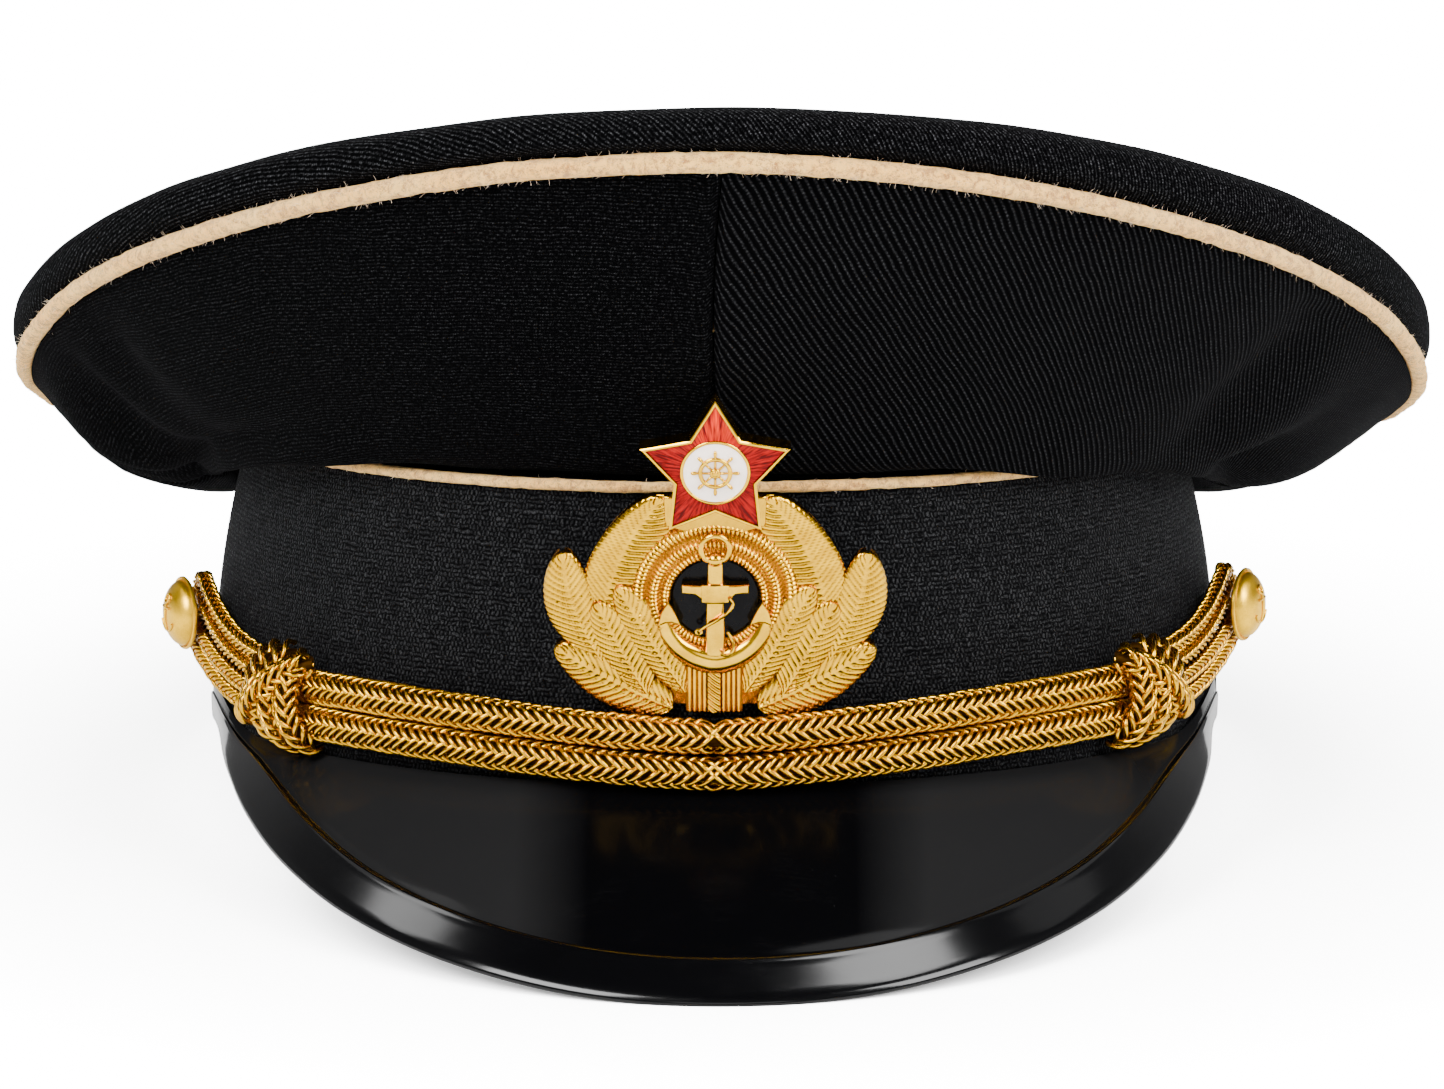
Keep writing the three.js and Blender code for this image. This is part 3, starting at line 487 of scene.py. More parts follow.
def fibreMaterial():
    material, tree = newMaterial("creamFibres", Roughness=0.8, Specular_IOR_Level=0.1)
    tint = speckle(objectPlace(tree), 0.5, 1.0)
    return finishMaterial(material, blend(tint, (0.8, 0.58, 0.38), (1, 0.86, 0.7)))


def lacquerMaterial(name, shine, paintedReflectionLevel):
    material, tree = newMaterial(name, Specular_IOR_Level=shine)
    place = objectPlace(tree)
    marks = useGroup(dust, place, Amount=0.3)
    grey = (0.12, 0.12, 0.12)
    # painted reflection: a lighter colour towards the sides stands in for reflected lamps; the specks are
    # dust
    aside = partsOf(place)[0].calc("ABSOLUTE")
    paintedReflection = remap(aside, 22.0, 34.0) * remap(aside, 66.0, 84.0, paintedReflectionLevel, 0.0)
    colour = blend(paintedReflection.calc("MAXIMUM", marks["Specks"] * 0.1), (0.0008, 0.0008, 0.001), grey)
    colour = blend(marks["Scratches"] * 0.01, colour, grey)
    rough = marks["Scratches"] * 0.05 + remap(speckle(place, 0.05, 3.0), 0.3, 0.7, 0.1, 0.15)
    height = speckle(place, 1.4, 3.0, 0.6) * 0.006 + speckle(place, 0.05, 2.0, 0.45)
    return finishMaterial(material, colour, rough, height, 0.25, 0.4)


def goldMaterial(name, deep, bright, rough, grain, depth, paintedShade=None):
    material, tree = newMaterial(name, Metallic=1.0, Specular_IOR_Level=0.5)
    skin = useGroup(metalSkin, objectPlace(tree), Grain=grain)
    colour = blend(remap(skin["Tone"], 0.38, 0.62), deep, bright)
    if paintedShade:  # painted shade: darker gold down in the hollows
        colour = blend(addNode(tree, "Attribute", {}, "Fac", attribute_name="paintedShade"), paintedShade, colour)
    return finishMaterial(material, colour, remap(skin["Matt"], 0.3, 0.7, *rough), skin["Height"], depth)


def starEnamel(name, dark, bright, glow):
    material, tree = newMaterial(name, Roughness=0.2, Specular_IOR_Level=0.08)
    plan = clothPlace(tree)
    x, y, _ = partsOf(plan)
    away = y - star["y"]
    far = (x ** 2.0 + away ** 2.0).calc("SQRT")
    ray = addNode(tree, "CombineXYZ", {"X": x.calc("ARCTAN2", away) * 9.0, "Y": far * 0.12})
    colour = blend(remap(speckle(ray, 2.4, 3.0, 0.6), 0.4, 0.62), dark, bright)
    paintedEnamelLight = remap(away, 3.5, 9.5) * remap(speckle(ray, 1.2), 0.38, 0.6)  # painted light caught inside the enamel, brighter away from the middle
    return finishMaterial(material, blend(paintedEnamelLight * 0.75, colour, glow), None, speckle(plan, 0.5), 0.05, 0.4)


def plainEnamel(name, colour, shadeColour, shine):
    material, tree = newMaterial(name, Specular_IOR_Level=shine)
    plan = clothPlace(tree)
    mottle = remap(speckle(plan, 0.35, 3.0), 0.35, 0.65)
    rough = remap(mottle, 0.0, 1.0, 0.2, 0.1)
    return finishMaterial(material, blend(mottle, shadeColour, colour), rough, speckle(plan, 0.7), 0.04, 0.4)


star = {"y": 23.5, "tip": 12.9, "notch": 7.1, "rim": 0.62, "base": 2.5, "top": 3.4, "disc": 5.35}
blackDisc = {"radius": 7.2, "base": 1.0, "top": 1.9}  # behind the anchor
# The panels are one black wool: the top's brighter colour and the small differences between the sides are
# painted light
topWool = woolMaterial("crownTopWool", turn=45, pitch=0.76, light=0.05, crepe=0.45, waver=0.3)
leftWool = woolMaterial("leftPanelWool", turn=3, pitch=0.76, light=0.023, crepe=0.5, waver=0.3)
rightWool = woolMaterial("rightPanelWool", turn=62, pitch=1.28, light=0.027, crepe=0.12, waver=0.2)
backWool = woolMaterial("backPanelWool", turn=45, pitch=1.1, light=0.022, crepe=0.3, waver=0.25)
blackRibbon = clothMaterial(
    "blackRibbon", ribbonWeave, (0.022, 0.0222, 0.0235), rough=(0.95, 0.6), depth=0.22,
    sheen=(0.006, 0.4, 0.9), shine=0.03, Cell=0.82, Waver=1.2)
creamFelt = feltMaterial()
creamFibres = fibreMaterial()
blackLacquer = lacquerMaterial("blackLacquer", shine=0.2, paintedReflectionLevel=0.0)
fieldLacquer = lacquerMaterial("fieldLacquer", shine=0.015, paintedReflectionLevel=0.05)
bullion = goldMaterial(
    "bullionWire", (0.38, 0.18, 0.001), (0.66, 0.36, 0.002), rough=(0.18, 0.28), grain=0.6, depth=0.012)
paintedShadeCore = goldMaterial(
    "paintedShadeCore", (0.02, 0.008, 0.001), (0.05, 0.02, 0.002), rough=(0.5, 0.7), grain=0.6, depth=0.05)
gilt = goldMaterial(
    "giltMetal", (0.54, 0.28, 0.001), (0.74, 0.41, 0.002), rough=(0.15, 0.24), grain=1.0, depth=0.01,
    paintedShade=(0.14, 0.06, 0))
paleGilt = goldMaterial(
    "paleGilt", (0.56, 0.3, 0.002), (0.78, 0.45, 0.008), rough=(0.12, 0.2), grain=1.0, depth=0.006)
buttonGilt = goldMaterial(
    "buttonGilt", (0.56, 0.31, 0.002), (0.8, 0.47, 0.008), rough=(0.28, 0.42), grain=1.0, depth=0.01)
redEnamel = starEnamel("redEnamel", (0.045, 0, 0), (0.27, 0, 0), glow=(0.85, 0.035, 0))
whiteEnamel = plainEnamel("whiteEnamel", (0.92, 0.79, 0.68), (0.84, 0.7, 0.6), shine=0.3)
blackEnamel = plainEnamel("blackEnamel", (0.0008, 0.0008, 0.001), (0.002, 0.002, 0.0025), shine=0.06)
print("materials made")

# Crown

crownTop = {
    "slope": 83 / 264, "level": 145.3, "dish": 2, "cloth": 1.3, "ripple": 0.35, "rippleSize": 22,
    "rollRows": 16, "panelRows": 14, "rollShare": 0.93,
}


def buildCrownTop():  # top panel and its rolled rim, one cut of cloth
    def level(y):
        return crownTop["level"] - (y - crown["y"] + crown["halfLength"]) * crownTop["slope"]

    middle = Vector((0, crown["y"], level(crown["y"]) - crownTop["dish"]))
    sections = []
    for degrees in headAngles(crown["steps"]):
        rise = fromTable(rimSections, "rise", degrees) + crown["sideRoll"] * sin(radians(degrees))
        out = fromTable(rimSections, "out", degrees)
        crest = onWelt(degrees, -1.6 * out - 0.6, rise)

        def panel(share):
            p = middle.lerp(crest, share)
            p.z = level(p.y) - crownTop["dish"] * (1 - share ** 2) + (crest.z - level(crest.y)) * share ** 3
            return p

        roll = [(-2.4, 0.9), (-0.9, 1.85), (0.75 * out, 0.28 * rise + 1), (out, 0.52 * rise)]
        roll.append((0.55 * out, 0.83 * rise))
        points = [onWelt(degrees, *spot) for spot in roll] + [crest, panel(crownTop["rollShare"])]
        line = [alongCurve(points, at)[0] for at in spread(0, 1, crownTop["rollRows"])]
        line += [panel(crownTop["rollShare"] * (1 - at)) for at in spread(0, 1, crownTop["panelRows"])[1:]]
        for j, p in enumerate(line):  # the cloth is never quite even
            free = smoothStep(j, 1, 4) * smoothStep((p - middle).length, 5, 40)
            p.z += crownTop["ripple"] * free * softNoise(p, crownTop["rippleSize"])
        sections.append(line)
    lengths = lengthsAlong(np.array(sections), 1)
    reach = lengths[:, -1:] - lengths  # from the middle, over the cloth

    def cut(i, j):
        angle = fullTurn * i / crown["steps"]
        far = reach[i % crown["steps"]][j]
        return far * sin(angle), -far * cos(angle)

    shape = loft(sections, closed=True, uvAt=cut)
    piece = addPiece("crownTopCloth", pointOutward(shape), topWool, ["crown_top"])
    return thicken(piece, crownTop["cloth"])


wallPiece = {
    "rows": 56, "columns": 72, "rightDroop": 5,  # the cloth hangs lower on the right, in degrees of turn
    "heldBelow": 0.34, "freeAbove": 0.52,  # the folds fade out towards the band
    "seamDepth": 1.1, "seamWidth": 1.0, "pucker": 0.1, "puckers": 90 / 4.2,
    "ripple": 0.5, "rippleSize": 26, "crinkle": 0.22, "crinkleSize": 9, "perDegree": 2.1,
}


def foldDepth(degrees, at):
    total = 0
    for angle, middle, depth, width, tall in zip(*folds.values()):
        side, height = (degrees - angle) / width, (at - middle) / tall
        total -= depth * exp(-side * side - height * height)
    return smoothStep(at, wallPiece["heldBelow"], wallPiece["freeAbove"]) * total


def buildWall(name, start, end, material, replaced):
    angles = spread(start + 0.06, end - 0.06, wallPiece["columns"])
    sections = []
    for degrees in sorted(angles + [start + 0.3, start + 0.65, end - 0.65, end - 0.3]):
        edge = onBand(degrees, band["height"])
        outward = outwardOn(degrees)
        spots = [(-2.2, 0.5)]
        for part in ("over", "hang", "low", "mid"):
            drooped = degrees + (wallPiece["rightDroop"] if part in ("over", "hang") else 0)
            spots.append([fromTable(wallSections, part + way, drooped) for way in ("Out", "Up")])
        points = [edge + outward * out + up * rise for out, rise in spots] + [onWelt(degrees, -1.1, -1.7)]
        across = outward.cross(up)
        fromSeam = min(abs(degrees - start), abs(end - degrees)) * wallPiece["perDegree"]
        seam = wallPiece["seamDepth"] * exp(-(fromSeam / wallPiece["seamWidth"]) ** 2)
        puckered = wallPiece["pucker"] * exp(-((fromSeam - 2) / 2) ** 2)
        line = []
        for at in spread(0, 1, wallPiece["rows"]):
            p, along = alongCurve(points, at)
            held = smoothStep(at, 0, 0.06) * smoothStep(at, 1, 0.94)
            lift = foldDepth(degrees, at) - seam + puckered * sin(fullTurn * at * wallPiece["puckers"])
            lift += wallPiece["ripple"] * softNoise(p, wallPiece["rippleSize"])
            lift += wallPiece["crinkle"] * softNoise(p, wallPiece["crinkleSize"])
            line.append(p + along.normalized().cross(across) * held * lift)
        sections.append(line)
    arcs, lengths = (lengthsAlong(np.array(sections), axis) for axis in (0, 1))
    if start not in (0, -180):  # measured from the seam in the middle
        arcs -= arcs[-1]
    shape = loft(sections, uvAt=lambda i, j: (arcs[i, j], lengths[i, j]))
    return thicken(addPiece(name, shape, material, [replaced]), crown["wall"])


buildCrownTop()
buildWall("frontPanelLeft", -90, 0, leftWool, "crown_wall_front_left")
buildWall("frontPanelRight", 0, 90, rightWool, "crown_wall_front_right")
buildWall("backPanelLeft", -180, -90, backWool, "crown_wall_back_left")
buildWall("backPanelRight", 90, 180, backWool, "crown_wall_back_right")
print("crown made")

# Welts with their loose fibres

weltRope = {
    "radius": 1.68, "sides": 16, "steps": 540, "uneven": 0.16, "lumpSize": 1.9,
    "wander": 0.14, "wanderSize": 14,
    "fibres": 2600, "fibreLength": 1.3, "fibreRadius": 0.019, "fibreSpread": 1.0,
    "edgeShare": 0.5, "edgeTurn": 1.45, "edgeSpread": 0.35,  # many stand up along the two edges
}
bandRope = {**weltRope, "radius": 0.95, "sides": 10, "steps": 360, "uneven": 0.2, "wander": 0.16}
bandRope.update(fibres=500, fibreLength=0.8)


def bandWeltCentre(degrees):
    return onBand(degrees, band["height"] - 0.8, bandRope["radius"] + 0.3)


def aroundRope(outward, turn):
    return outward * cos(turn) + up * sin(turn)


def buildWelt(name, rope, centreAt, replaced):
    sections = []
    for degrees in headAngles(rope["steps"]):
        centre = centreAt(degrees)
        outward = outwardOn(degrees)
        centre = centre + up * rope["wander"] * softNoise(centre, rope["wanderSize"])
        line = []
        for turn in spread(0, fullTurn, rope["sides"]):
            way = aroundRope(outward, turn)
            lump = 1 + rope["uneven"] * softNoise(centre + way * 1.5, rope["lumpSize"])
            line.append(centre + way * rope["radius"] * lump)
        line[-1] = line[0]
        sections.append(line)
    addPiece(name, pointOutward(loft(sections, closed=True)), creamFelt, [replaced])
    strands = []
    for _ in range(rope["fibres"]):
        degrees = random.uniform(-180, 180)
        outward = outwardOn(degrees)
        turn = random.gauss(0, rope["fibreSpread"])
        if random.random() < rope["edgeShare"]:
            turn = random.choice((-1, 1)) * random.gauss(rope["edgeTurn"], rope["edgeSpread"])
        way = aroundRope(outward, turn)
        along = up.cross(outward) * random.choice((-1, 1))
        size = rope["fibreLength"] * random.uniform(0.35, 1) ** 1.5
        lean = random.uniform(0.2, 1.2)
        foot = centreAt(degrees) + way * rope["radius"] * 0.93
        tip = foot + (way + along * lean + outward * 0.3).normalized() * size
        curl = Vector([random.uniform(-0.3, 0.3) for _ in range(3)]) * size
        strands.append([foot, foot.lerp(tip, 0.5) + curl * 0.6, tip + curl * 0.4])
    addWires(
        name + "Fibres", strands, rope["fibreRadius"], creamFibres,
        sides=0, taper=[1, 0.8, 0.3])


buildWelt("crownWelt", weltRope, onWelt, "crown_piping")
buildWelt("bandWelt", bandRope, bandWeltCentre, "band_piping")
print("welts made")

# Band and peak


def buildBand():
    top = band["height"]
    outer = [(0.6, -0.9), (0.1, -0.35), (0.3, 0.0)] + [(h, 0.0) for h in spread(1.2, top - 1.4, band["rows"])]
    outer += [(top - 0.4, -0.15), (top, -0.7)]
    inner = [(h, -band["wall"]) for h in spread(top - 0.2, 0.6, 8)]
    sections = []
    for degrees in headAngles(band["steps"]):
        fromJoin = (degrees - 180 if degrees > 0 else degrees + 180) * band["perDegree"]
        lap = band["lapDepth"] * (0.5 + 0.5 * tanh(fromJoin / band["lapEdge"]))
        lap *= exp(-(max(fromJoin, 0) / band["lapFade"]) ** 2)
        line = []
        for height, out in outer + inner:
            p = onBand(degrees, height, out)
            if out > -0.5:  # soft waves of the ribbon, and its overlapped ends at the rear
                p = onBand(degrees, height, out + band["waves"] * softNoise(p, band["waveSize"]) + lap)
            p.z = max(0, p.z)
            line.append(p)
        sections.append(line + line[:1])
    girth = [onBand(degrees, 25) for degrees in spread(0, 360, band["steps"])]
    arcs = lengthsAlong(np.array(girth))
    heights = [h for h, _ in outer] + [h + 60 for h, _ in inner] + [0]
    shape = loft(sections, closed=True, uvAt=lambda i, j: (arcs[i], heights[j]))
    addPiece("bandRibbon", pointOutward(shape), blackRibbon, ["band"])


visor = {
    "thickness": 2, "endThickness": 1.1, "camber": 0.4, "halfAngle": 79, "swing": 0.8,
    "border": 9, "rise": 1.1, "borderFall": 1.2,  # the border stands up at its inner edge and leans outward
    "climb": 6.5, "climbFrom": 58,  # the ends reach up the band
    "steps": 158, "fieldRows": 14,
}


def buildVisor():
    sections = []
    for degrees in spread(-visor["halfAngle"], visor["halfAngle"], visor["steps"]):
        reach = fromTable(visorSections, "reach", degrees - visor["swing"])
        climb = visor["climb"] * smoothStep(abs(degrees), visor["climbFrom"], visor["halfAngle"])
        drop = fromTable(visorSections, "drop", degrees - visor["swing"]) + climb
        slim = climb / visor["climb"]
        start = onBand(degrees, climb, 0.3 - 0.9 * slim)
        normal = ovalNormal(radians(degrees), band["halfWidth"], band["halfLength"])
        length = hypot(reach, drop)
        alongX, alongZ = reach / length, -drop / length
        overX, overZ = -alongZ, alongX
        border = visor["border"] * tanh(length / 12)

        def place(along, lift):
            swell = visor["camber"] * sin(pi * along / length) * min(1, length / 40)
            out = max(0, alongX * along + overX * (lift + swell))
            p = start + normal * out + up * (alongZ * along + overZ * (lift + swell))
            p.z = max(0, p.z)
            return p

        field = length - border
        full = min(1, length / 8)
        low = visor["endThickness"] + (visor["thickness"] - 0.7 - visor["endThickness"]) * full
        low *= 1 - 0.3 * slim
        small = min(1, border / visor["border"])
        high = low + visor["rise"] * small * (1 - 0.5 * slim)
        fall = visor["borderFall"] * small
        leaning = [(a, high + 0.04 - fall * (a - field) / border)
                   for a in spread(field + 1.6 * small, length - 1.6 * small, 6)]
        step = [(-0.7, low - 0.12), (-0.35, low - 0.05), (-0.1, low + 0.3), (0.25, high - 0.08), (0.8, high)]
        high -= fall
        edge = [(1, high + 0.1 * small), (0.5, high - 0.1 * small), (0.15, high - 0.35 * small)]
        edge += [(0, high * 0.42), (0.15, 0.2), (0.6, 0.02)]
        spots = [(0, 0), (0, low * 0.6), (0.15, low)]
        spots += [(a, low) for a in spread(0.6, field - 1.2 * small, visor["fieldRows"])]
        spots += [(field + a * small, lift) for a, lift in step] + leaning
        spots += [(length - a * small, lift) for a, lift in edge]
        spots += [(a, 0) for a in spread(length - 1.5 * small, 0.8, 10)]
        line = [place(*spot) for spot in spots]
        sections.append(line + line[:1])
    shape = loft(sections, uvAt=lambda i, j: (i, j))
    layer = shape.loops.layers.uv["cloth"]
    for face in shape.faces:  # the field is duller than the border
        row = sum(loop[layer].uv.y for loop in face.loops) / 4
        face.material_index = 1 if 2 < row < visor["fieldRows"] + 3.6 else 0
    bmesh.ops.holes_fill(shape, edges=[edge for edge in shape.edges if edge.is_boundary], sides=0)
    piece = addPiece("peak", pointOutward(shape), blackLacquer, ["visor"], sharp=60)
    piece.data.materials.append(fieldLacquer)


buildBand()
buildVisor()
print("band and peak made")

# Gold cord: the stitches lean to and fro from column to column round a core painted dark as the shade between
# them

cord = {
    "radius": 3.08, "reach": 49.6, "upper": 9.4, "lower": 3.25, "lean": 0.01, "out": 3.25,
    "pitch": 1.9, "stitch": 3.6, "columns": 6, "wire": 0.43, "span": 74, "turn": -14, "steps": 8, "deep": 2.5,
}
cordClimb = {"angle": [0, 10, 20, 32, 48], "climb": [0, 0.9, 2.1, 3.3, 3.9]}  # up the band towards the knots
loopCord = {
    "radius": 1.62, "fromKnot": 2.6, "underKnot": 0.6, "out": 1.75, "lift": 2.5, "sag": 2.2, "bend": 0.58,
    "pitch": 1.75, "stitch": 2.8, "columns": 4, "wire": 0.37, "span": 96, "turn": 45, "steps": 6, "deep": 2.3,
}
loopLanes = {"outer": (4.95, 5.95), "inner": (1.7, 2.7)}  # half the height at the knot and at the button
knotCord = {
    "radius": 2.6, "angle": 49.5, "height": 11.4,
    "pitch": 2.1, "stitch": 3.6, "columns": 5, "wire": 0.46, "span": 84, "turn": 18, "steps": 8, "deep": 2.4,
}
knotTurns = {  # a column for each turn of the knot
    "at": [-4.1, 0.1, 4.2], "lean": [1.3, 1.5, 1.2], "lift": [0.0, 0.5, 0.0], "tall": [7.1, 7.6, 7.0],
}
knotWrap = {"from": -22, "to": 202, "steps": 26, "foot": 2.5, "depth": 6.4}
crossWrap = {"from": 8, "to": 128, "steps": 18, "foot": 3, "depth": 7.4, "aside": -6.2, "tall": 7.0}
button = {
    "angle": 75.5, "height": 20.1, "footAngle": 76.2, "radius": 6.5, "dome": 4.3, "stand": 6.8, "steps": 56,
    "reliefWire": 0.25, "reliefSink": -0.22,
}
sides = {"left": -1, "right": 1}


def leaning(height, degrees):  # the cord hangs a little lower on the left
    return height + cord["lean"] * degrees


def framedPath(points, outs):  # a line that can be asked for its place, direction and way out
    line, away = np.array(points), np.array(outs)
    far = lengthsAlong(line)
    length = far[-1]

    def at(s):
        s = min(max(s, 0), length)
        ahead, behind = min(s + 0.4, length), max(s - 0.4, 0)
        p, a, b = (Vector([np.interp(v, far, line[:, c]) for c in range(3)]) for v in (s, ahead, behind))
        out = Vector([np.interp(s, far, away[:, c]) for c in range(3)])
        tangent = (a - b).normalized()
        out = (out - tangent * out.dot(tangent)).normalized()
        return p, out, out.cross(tangent)

    return at, length


def braid(path, length, look, hand, halves):
    span = length
    if halves:  # they meet in the middle without a gap
        span = length / 2 + (look["stitch"] - look["pitch"]) / 2
    rows = int((span - look["stitch"]) / look["pitch"])
    spare = (span - look["stitch"] - rows * look["pitch"]) / 2
    crest = look["radius"] - look["wire"]
    lowered = crest - look["wire"] * look["deep"]

    def stitch(start, middle, lean, loose, ways):
        points = []
        for t in spread(0, 1, look["steps"]):
            arch = sin(pi * (0.06 + 0.88 * t ** 0.85)) ** 0.75
            reach = lowered + (crest - lowered) * arch * (1 + loose)
            angle = radians(middle + lean * look["span"] * (t - 0.5))
            s = start + look["stitch"] * t
            p, out, side = path(s if ways > 0 else length - s)
            points.append(p + out * reach * cos(angle) + side * hand * reach * sin(angle))
        return points

    strands = []
    for column in range(look["columns"]):
        lean = 1 if column % 2 == 0 else -1
        middle = 360 / look["columns"] * column + look["turn"]
        for row in range(rows + (column % 2 == 0 or halves)):
            start = spare + (row + (0.5 if column % 2 else 0)) * look["pitch"]
            for ways in ((1, -1) if halves else (1,)):  # the far half is the near one mirrored
                slip = random.uniform(-0.12, 0.12)
                strands.append(stitch(start + slip, middle, lean, random.uniform(-0.1, 0.1), ways))
    return strands


def cordPath(height):
    angles = spread(-cord["reach"], cord["reach"], 60)
    points = [onBand(a, leaning(height, a) + fromTable(cordClimb, "climb", a), cord["out"]) for a in angles]
    return framedPath(points, [outwardOn(a) for a in angles])


def loopPath(sign, atKnot, atButton):  # out of the knot, round the button's shank and back
    first = knotCord["angle"] + loopCord["fromKnot"]
    shank = (button["angle"] + button["footAngle"]) / 2
    knotEnd = leaning(knotCord["height"] - loopCord["underKnot"], sign * knotCord["angle"])
    buttonEnd = leaning(button["height"], sign * button["angle"])
    spots = [(first + (shank - first) * share, 1) for share in spread(0, 1, 12)]
    for bend in map(radians, spread(75, -75, 8)):
        spots.append((shank + atButton * cos(bend) * loopCord["bend"], sin(bend)))
    spots += [(first + (shank - first) * share, -1) for share in spread(1, 0, 12)]
    points = []
    for degrees, way in spots:
        share = min(max((degrees - first) / (shank - first), 0), 1)
        middle = knotEnd + (buttonEnd - knotEnd) * share - loopCord["sag"] * sin(pi * share)
        height = middle + way * (atKnot + (atButton - atKnot) * share ** 3)
        points.append(onBand(sign * degrees, height, loopCord["out"] + loopCord["lift"] * share ** 1.5))
    return framedPath(points, [outwardOn(sign * degrees) for degrees, _ in spots])


def knotWraps(sign):  # the cord wound over the two braids
    angle = sign * knotCord["angle"]
    foot = onBand(angle, leaning(knotCord["height"], angle))
    out = outwardOn(angle)
    along = up.cross(out) * sign  # towards the button
    rise = out.cross(up.cross(out))

    def wrap(look, place):
        points, outs = [], []
        for a in map(radians, spread(look["from"], look["to"], look["steps"])):
            aside, tall, depth = place(a)
            points.append(foot + along * aside + rise * tall * cos(a) + out * depth)
            outs.append((rise * cos(a) + out * sin(a)).normalized())
        return framedPath(points, outs)

    paths = []
    low, depth = knotWrap["foot"], knotWrap["depth"]
    for at, lean, lift, tall in zip(*knotTurns.values()):
        paths.append(wrap(knotWrap, lambda a: (
            at + lean * cos(a), tall, max(low, low + (depth + lift) * sin(a)))))
    paths.append(wrap(crossWrap, lambda a: (  # one more turn crosses over the top of the others
        crossWrap["aside"] * cos(a * 1.15 + 0.35), crossWrap["tall"],
        crossWrap["foot"] + crossWrap["depth"] * sin(a))))
    return paths


def addCord(name, paths, look, replaced, hand=1, halves=False):
    strands = [strand for path, length in paths for strand in braid(path, length, look, hand, halves)]
    addWires(name, strands, look["wire"], bullion, [replaced])
    cores = [[path(s)[0] for s in spread(0, length, max(2, int(length / 2.2)))] for path, length in paths]
    coreRadius = look["radius"] - (look["deep"] + 1.6) * look["wire"] + 0.2
    # the core's dark colour is painted shade in the gaps between the stitches
    addWires(name + "Core", cores, coreRadius, paintedShadeCore, sides=2)


for label in ("upper", "lower"):
    addCord(label + "Braid", [cordPath(cord[label])], cord, "cord_" + label, halves=True)
for label, sign in sides.items():
    addCord(label + "KnotBraid", knotWraps(sign), knotCord, "knot_" + label, hand=-sign)
    for lane, reach in loopLanes.items():
        replaced = f"loop_{lane}_{label}"
        addCord(label + lane.capitalize() + "Loop", [loopPath(sign, *reach)], loopCord, replaced)
print("cords made")

# Buttons


def spun(shape, verts, steps):  # a line turned about the upright axis
    bmesh.ops.spin(
        shape, geom=verts + list(shape.edges), cent=(0, 0, 0), axis=(0, 0, 1), angle=fullTurn, steps=steps,
        use_merge=True)


def onDome(x, y, lift):  # a place on the button's dome
    r, dome = button["radius"] - 0.7, button["dome"] - 1.2
    far = min(hypot(x, y), r)
    bulge = sqrt(max(0, 1 - (far / r) ** 2 * 0.985)) ** 1.15
    return Vector((x, y, button["stand"] + 1.1 + dome * bulge + lift))


def buildButton(name, sign):
    r = button["radius"]
    height = leaning(button["height"], sign * button["angle"])
    foot = onBand(sign * button["footAngle"], height, 0.3)
    face = onBand(sign * button["angle"], height, button["stand"])
    stand = (face - foot).length
    aim = (face - foot).normalized()
    across = up.cross(aim).normalized()
    turn = Matrix((across, aim.cross(across), aim)).transposed().to_4x4()
    place = Matrix.Translation(foot * mm) @ turn
    profile = [(0, 0), (0.9, 0), (1, 0.5), (1, stand), (r - 1.2, stand)]
    rim = [(0.4, 0.15), (0, 0.5), (0.05, 0.85), (0.3, 1), (0.5, 0.9), (0.65, 0.75)]
    profile += [(r - inset, stand + rise) for inset, rise in rim]
    profile += [(x, onDome(x, 0, -0.3).z) for x in spread(r - 0.75, 0, 16)]
    shape = bmesh.new()
    verts = [shape.verts.new((x * mm, 0, z * mm)) for x, z in profile]
    for pair in zip(verts, verts[1:]):
        shape.edges.new(pair)
    spun(shape, verts, button["steps"])
    bmesh.ops.remove_doubles(shape, verts=shape.verts, dist=1e-6)
    pointOutward(shape)
    bmesh.ops.transform(shape, matrix=place, verts=shape.verts)
    addPiece(name + "ButtonShell", shape, buttonGilt, ["button_" + name], sharp=50)
    relief = [  # a small anchor: shank, stock, arms and ring
        [(0, y) for y in spread(-3, 2.2, 8)],
        [(x, 1.2) for x in spread(-1.5, 1.5, 6)],
        [(2.7 * sin(a), -0.6 - 2.4 * cos(a)) for a in spread(-1.25, 1.25, 14)],
        [(0.75 * cos(a), 2.8 + 0.75 * sin(a)) for a in spread(0, fullTurn, 14)],
    ]
    strands = [[place @ (onDome(x, y, button["reliefSink"]) * mm) / mm for x, y in line] for line in relief]
    addWires(name + "ButtonRelief", strands, button["reliefWire"], buttonGilt, sides=2)


for label, sign in sides.items():
    buildButton(label, sign)
print("buttons made")

# Badge, drawn flat in millimetres from the middle of its rings

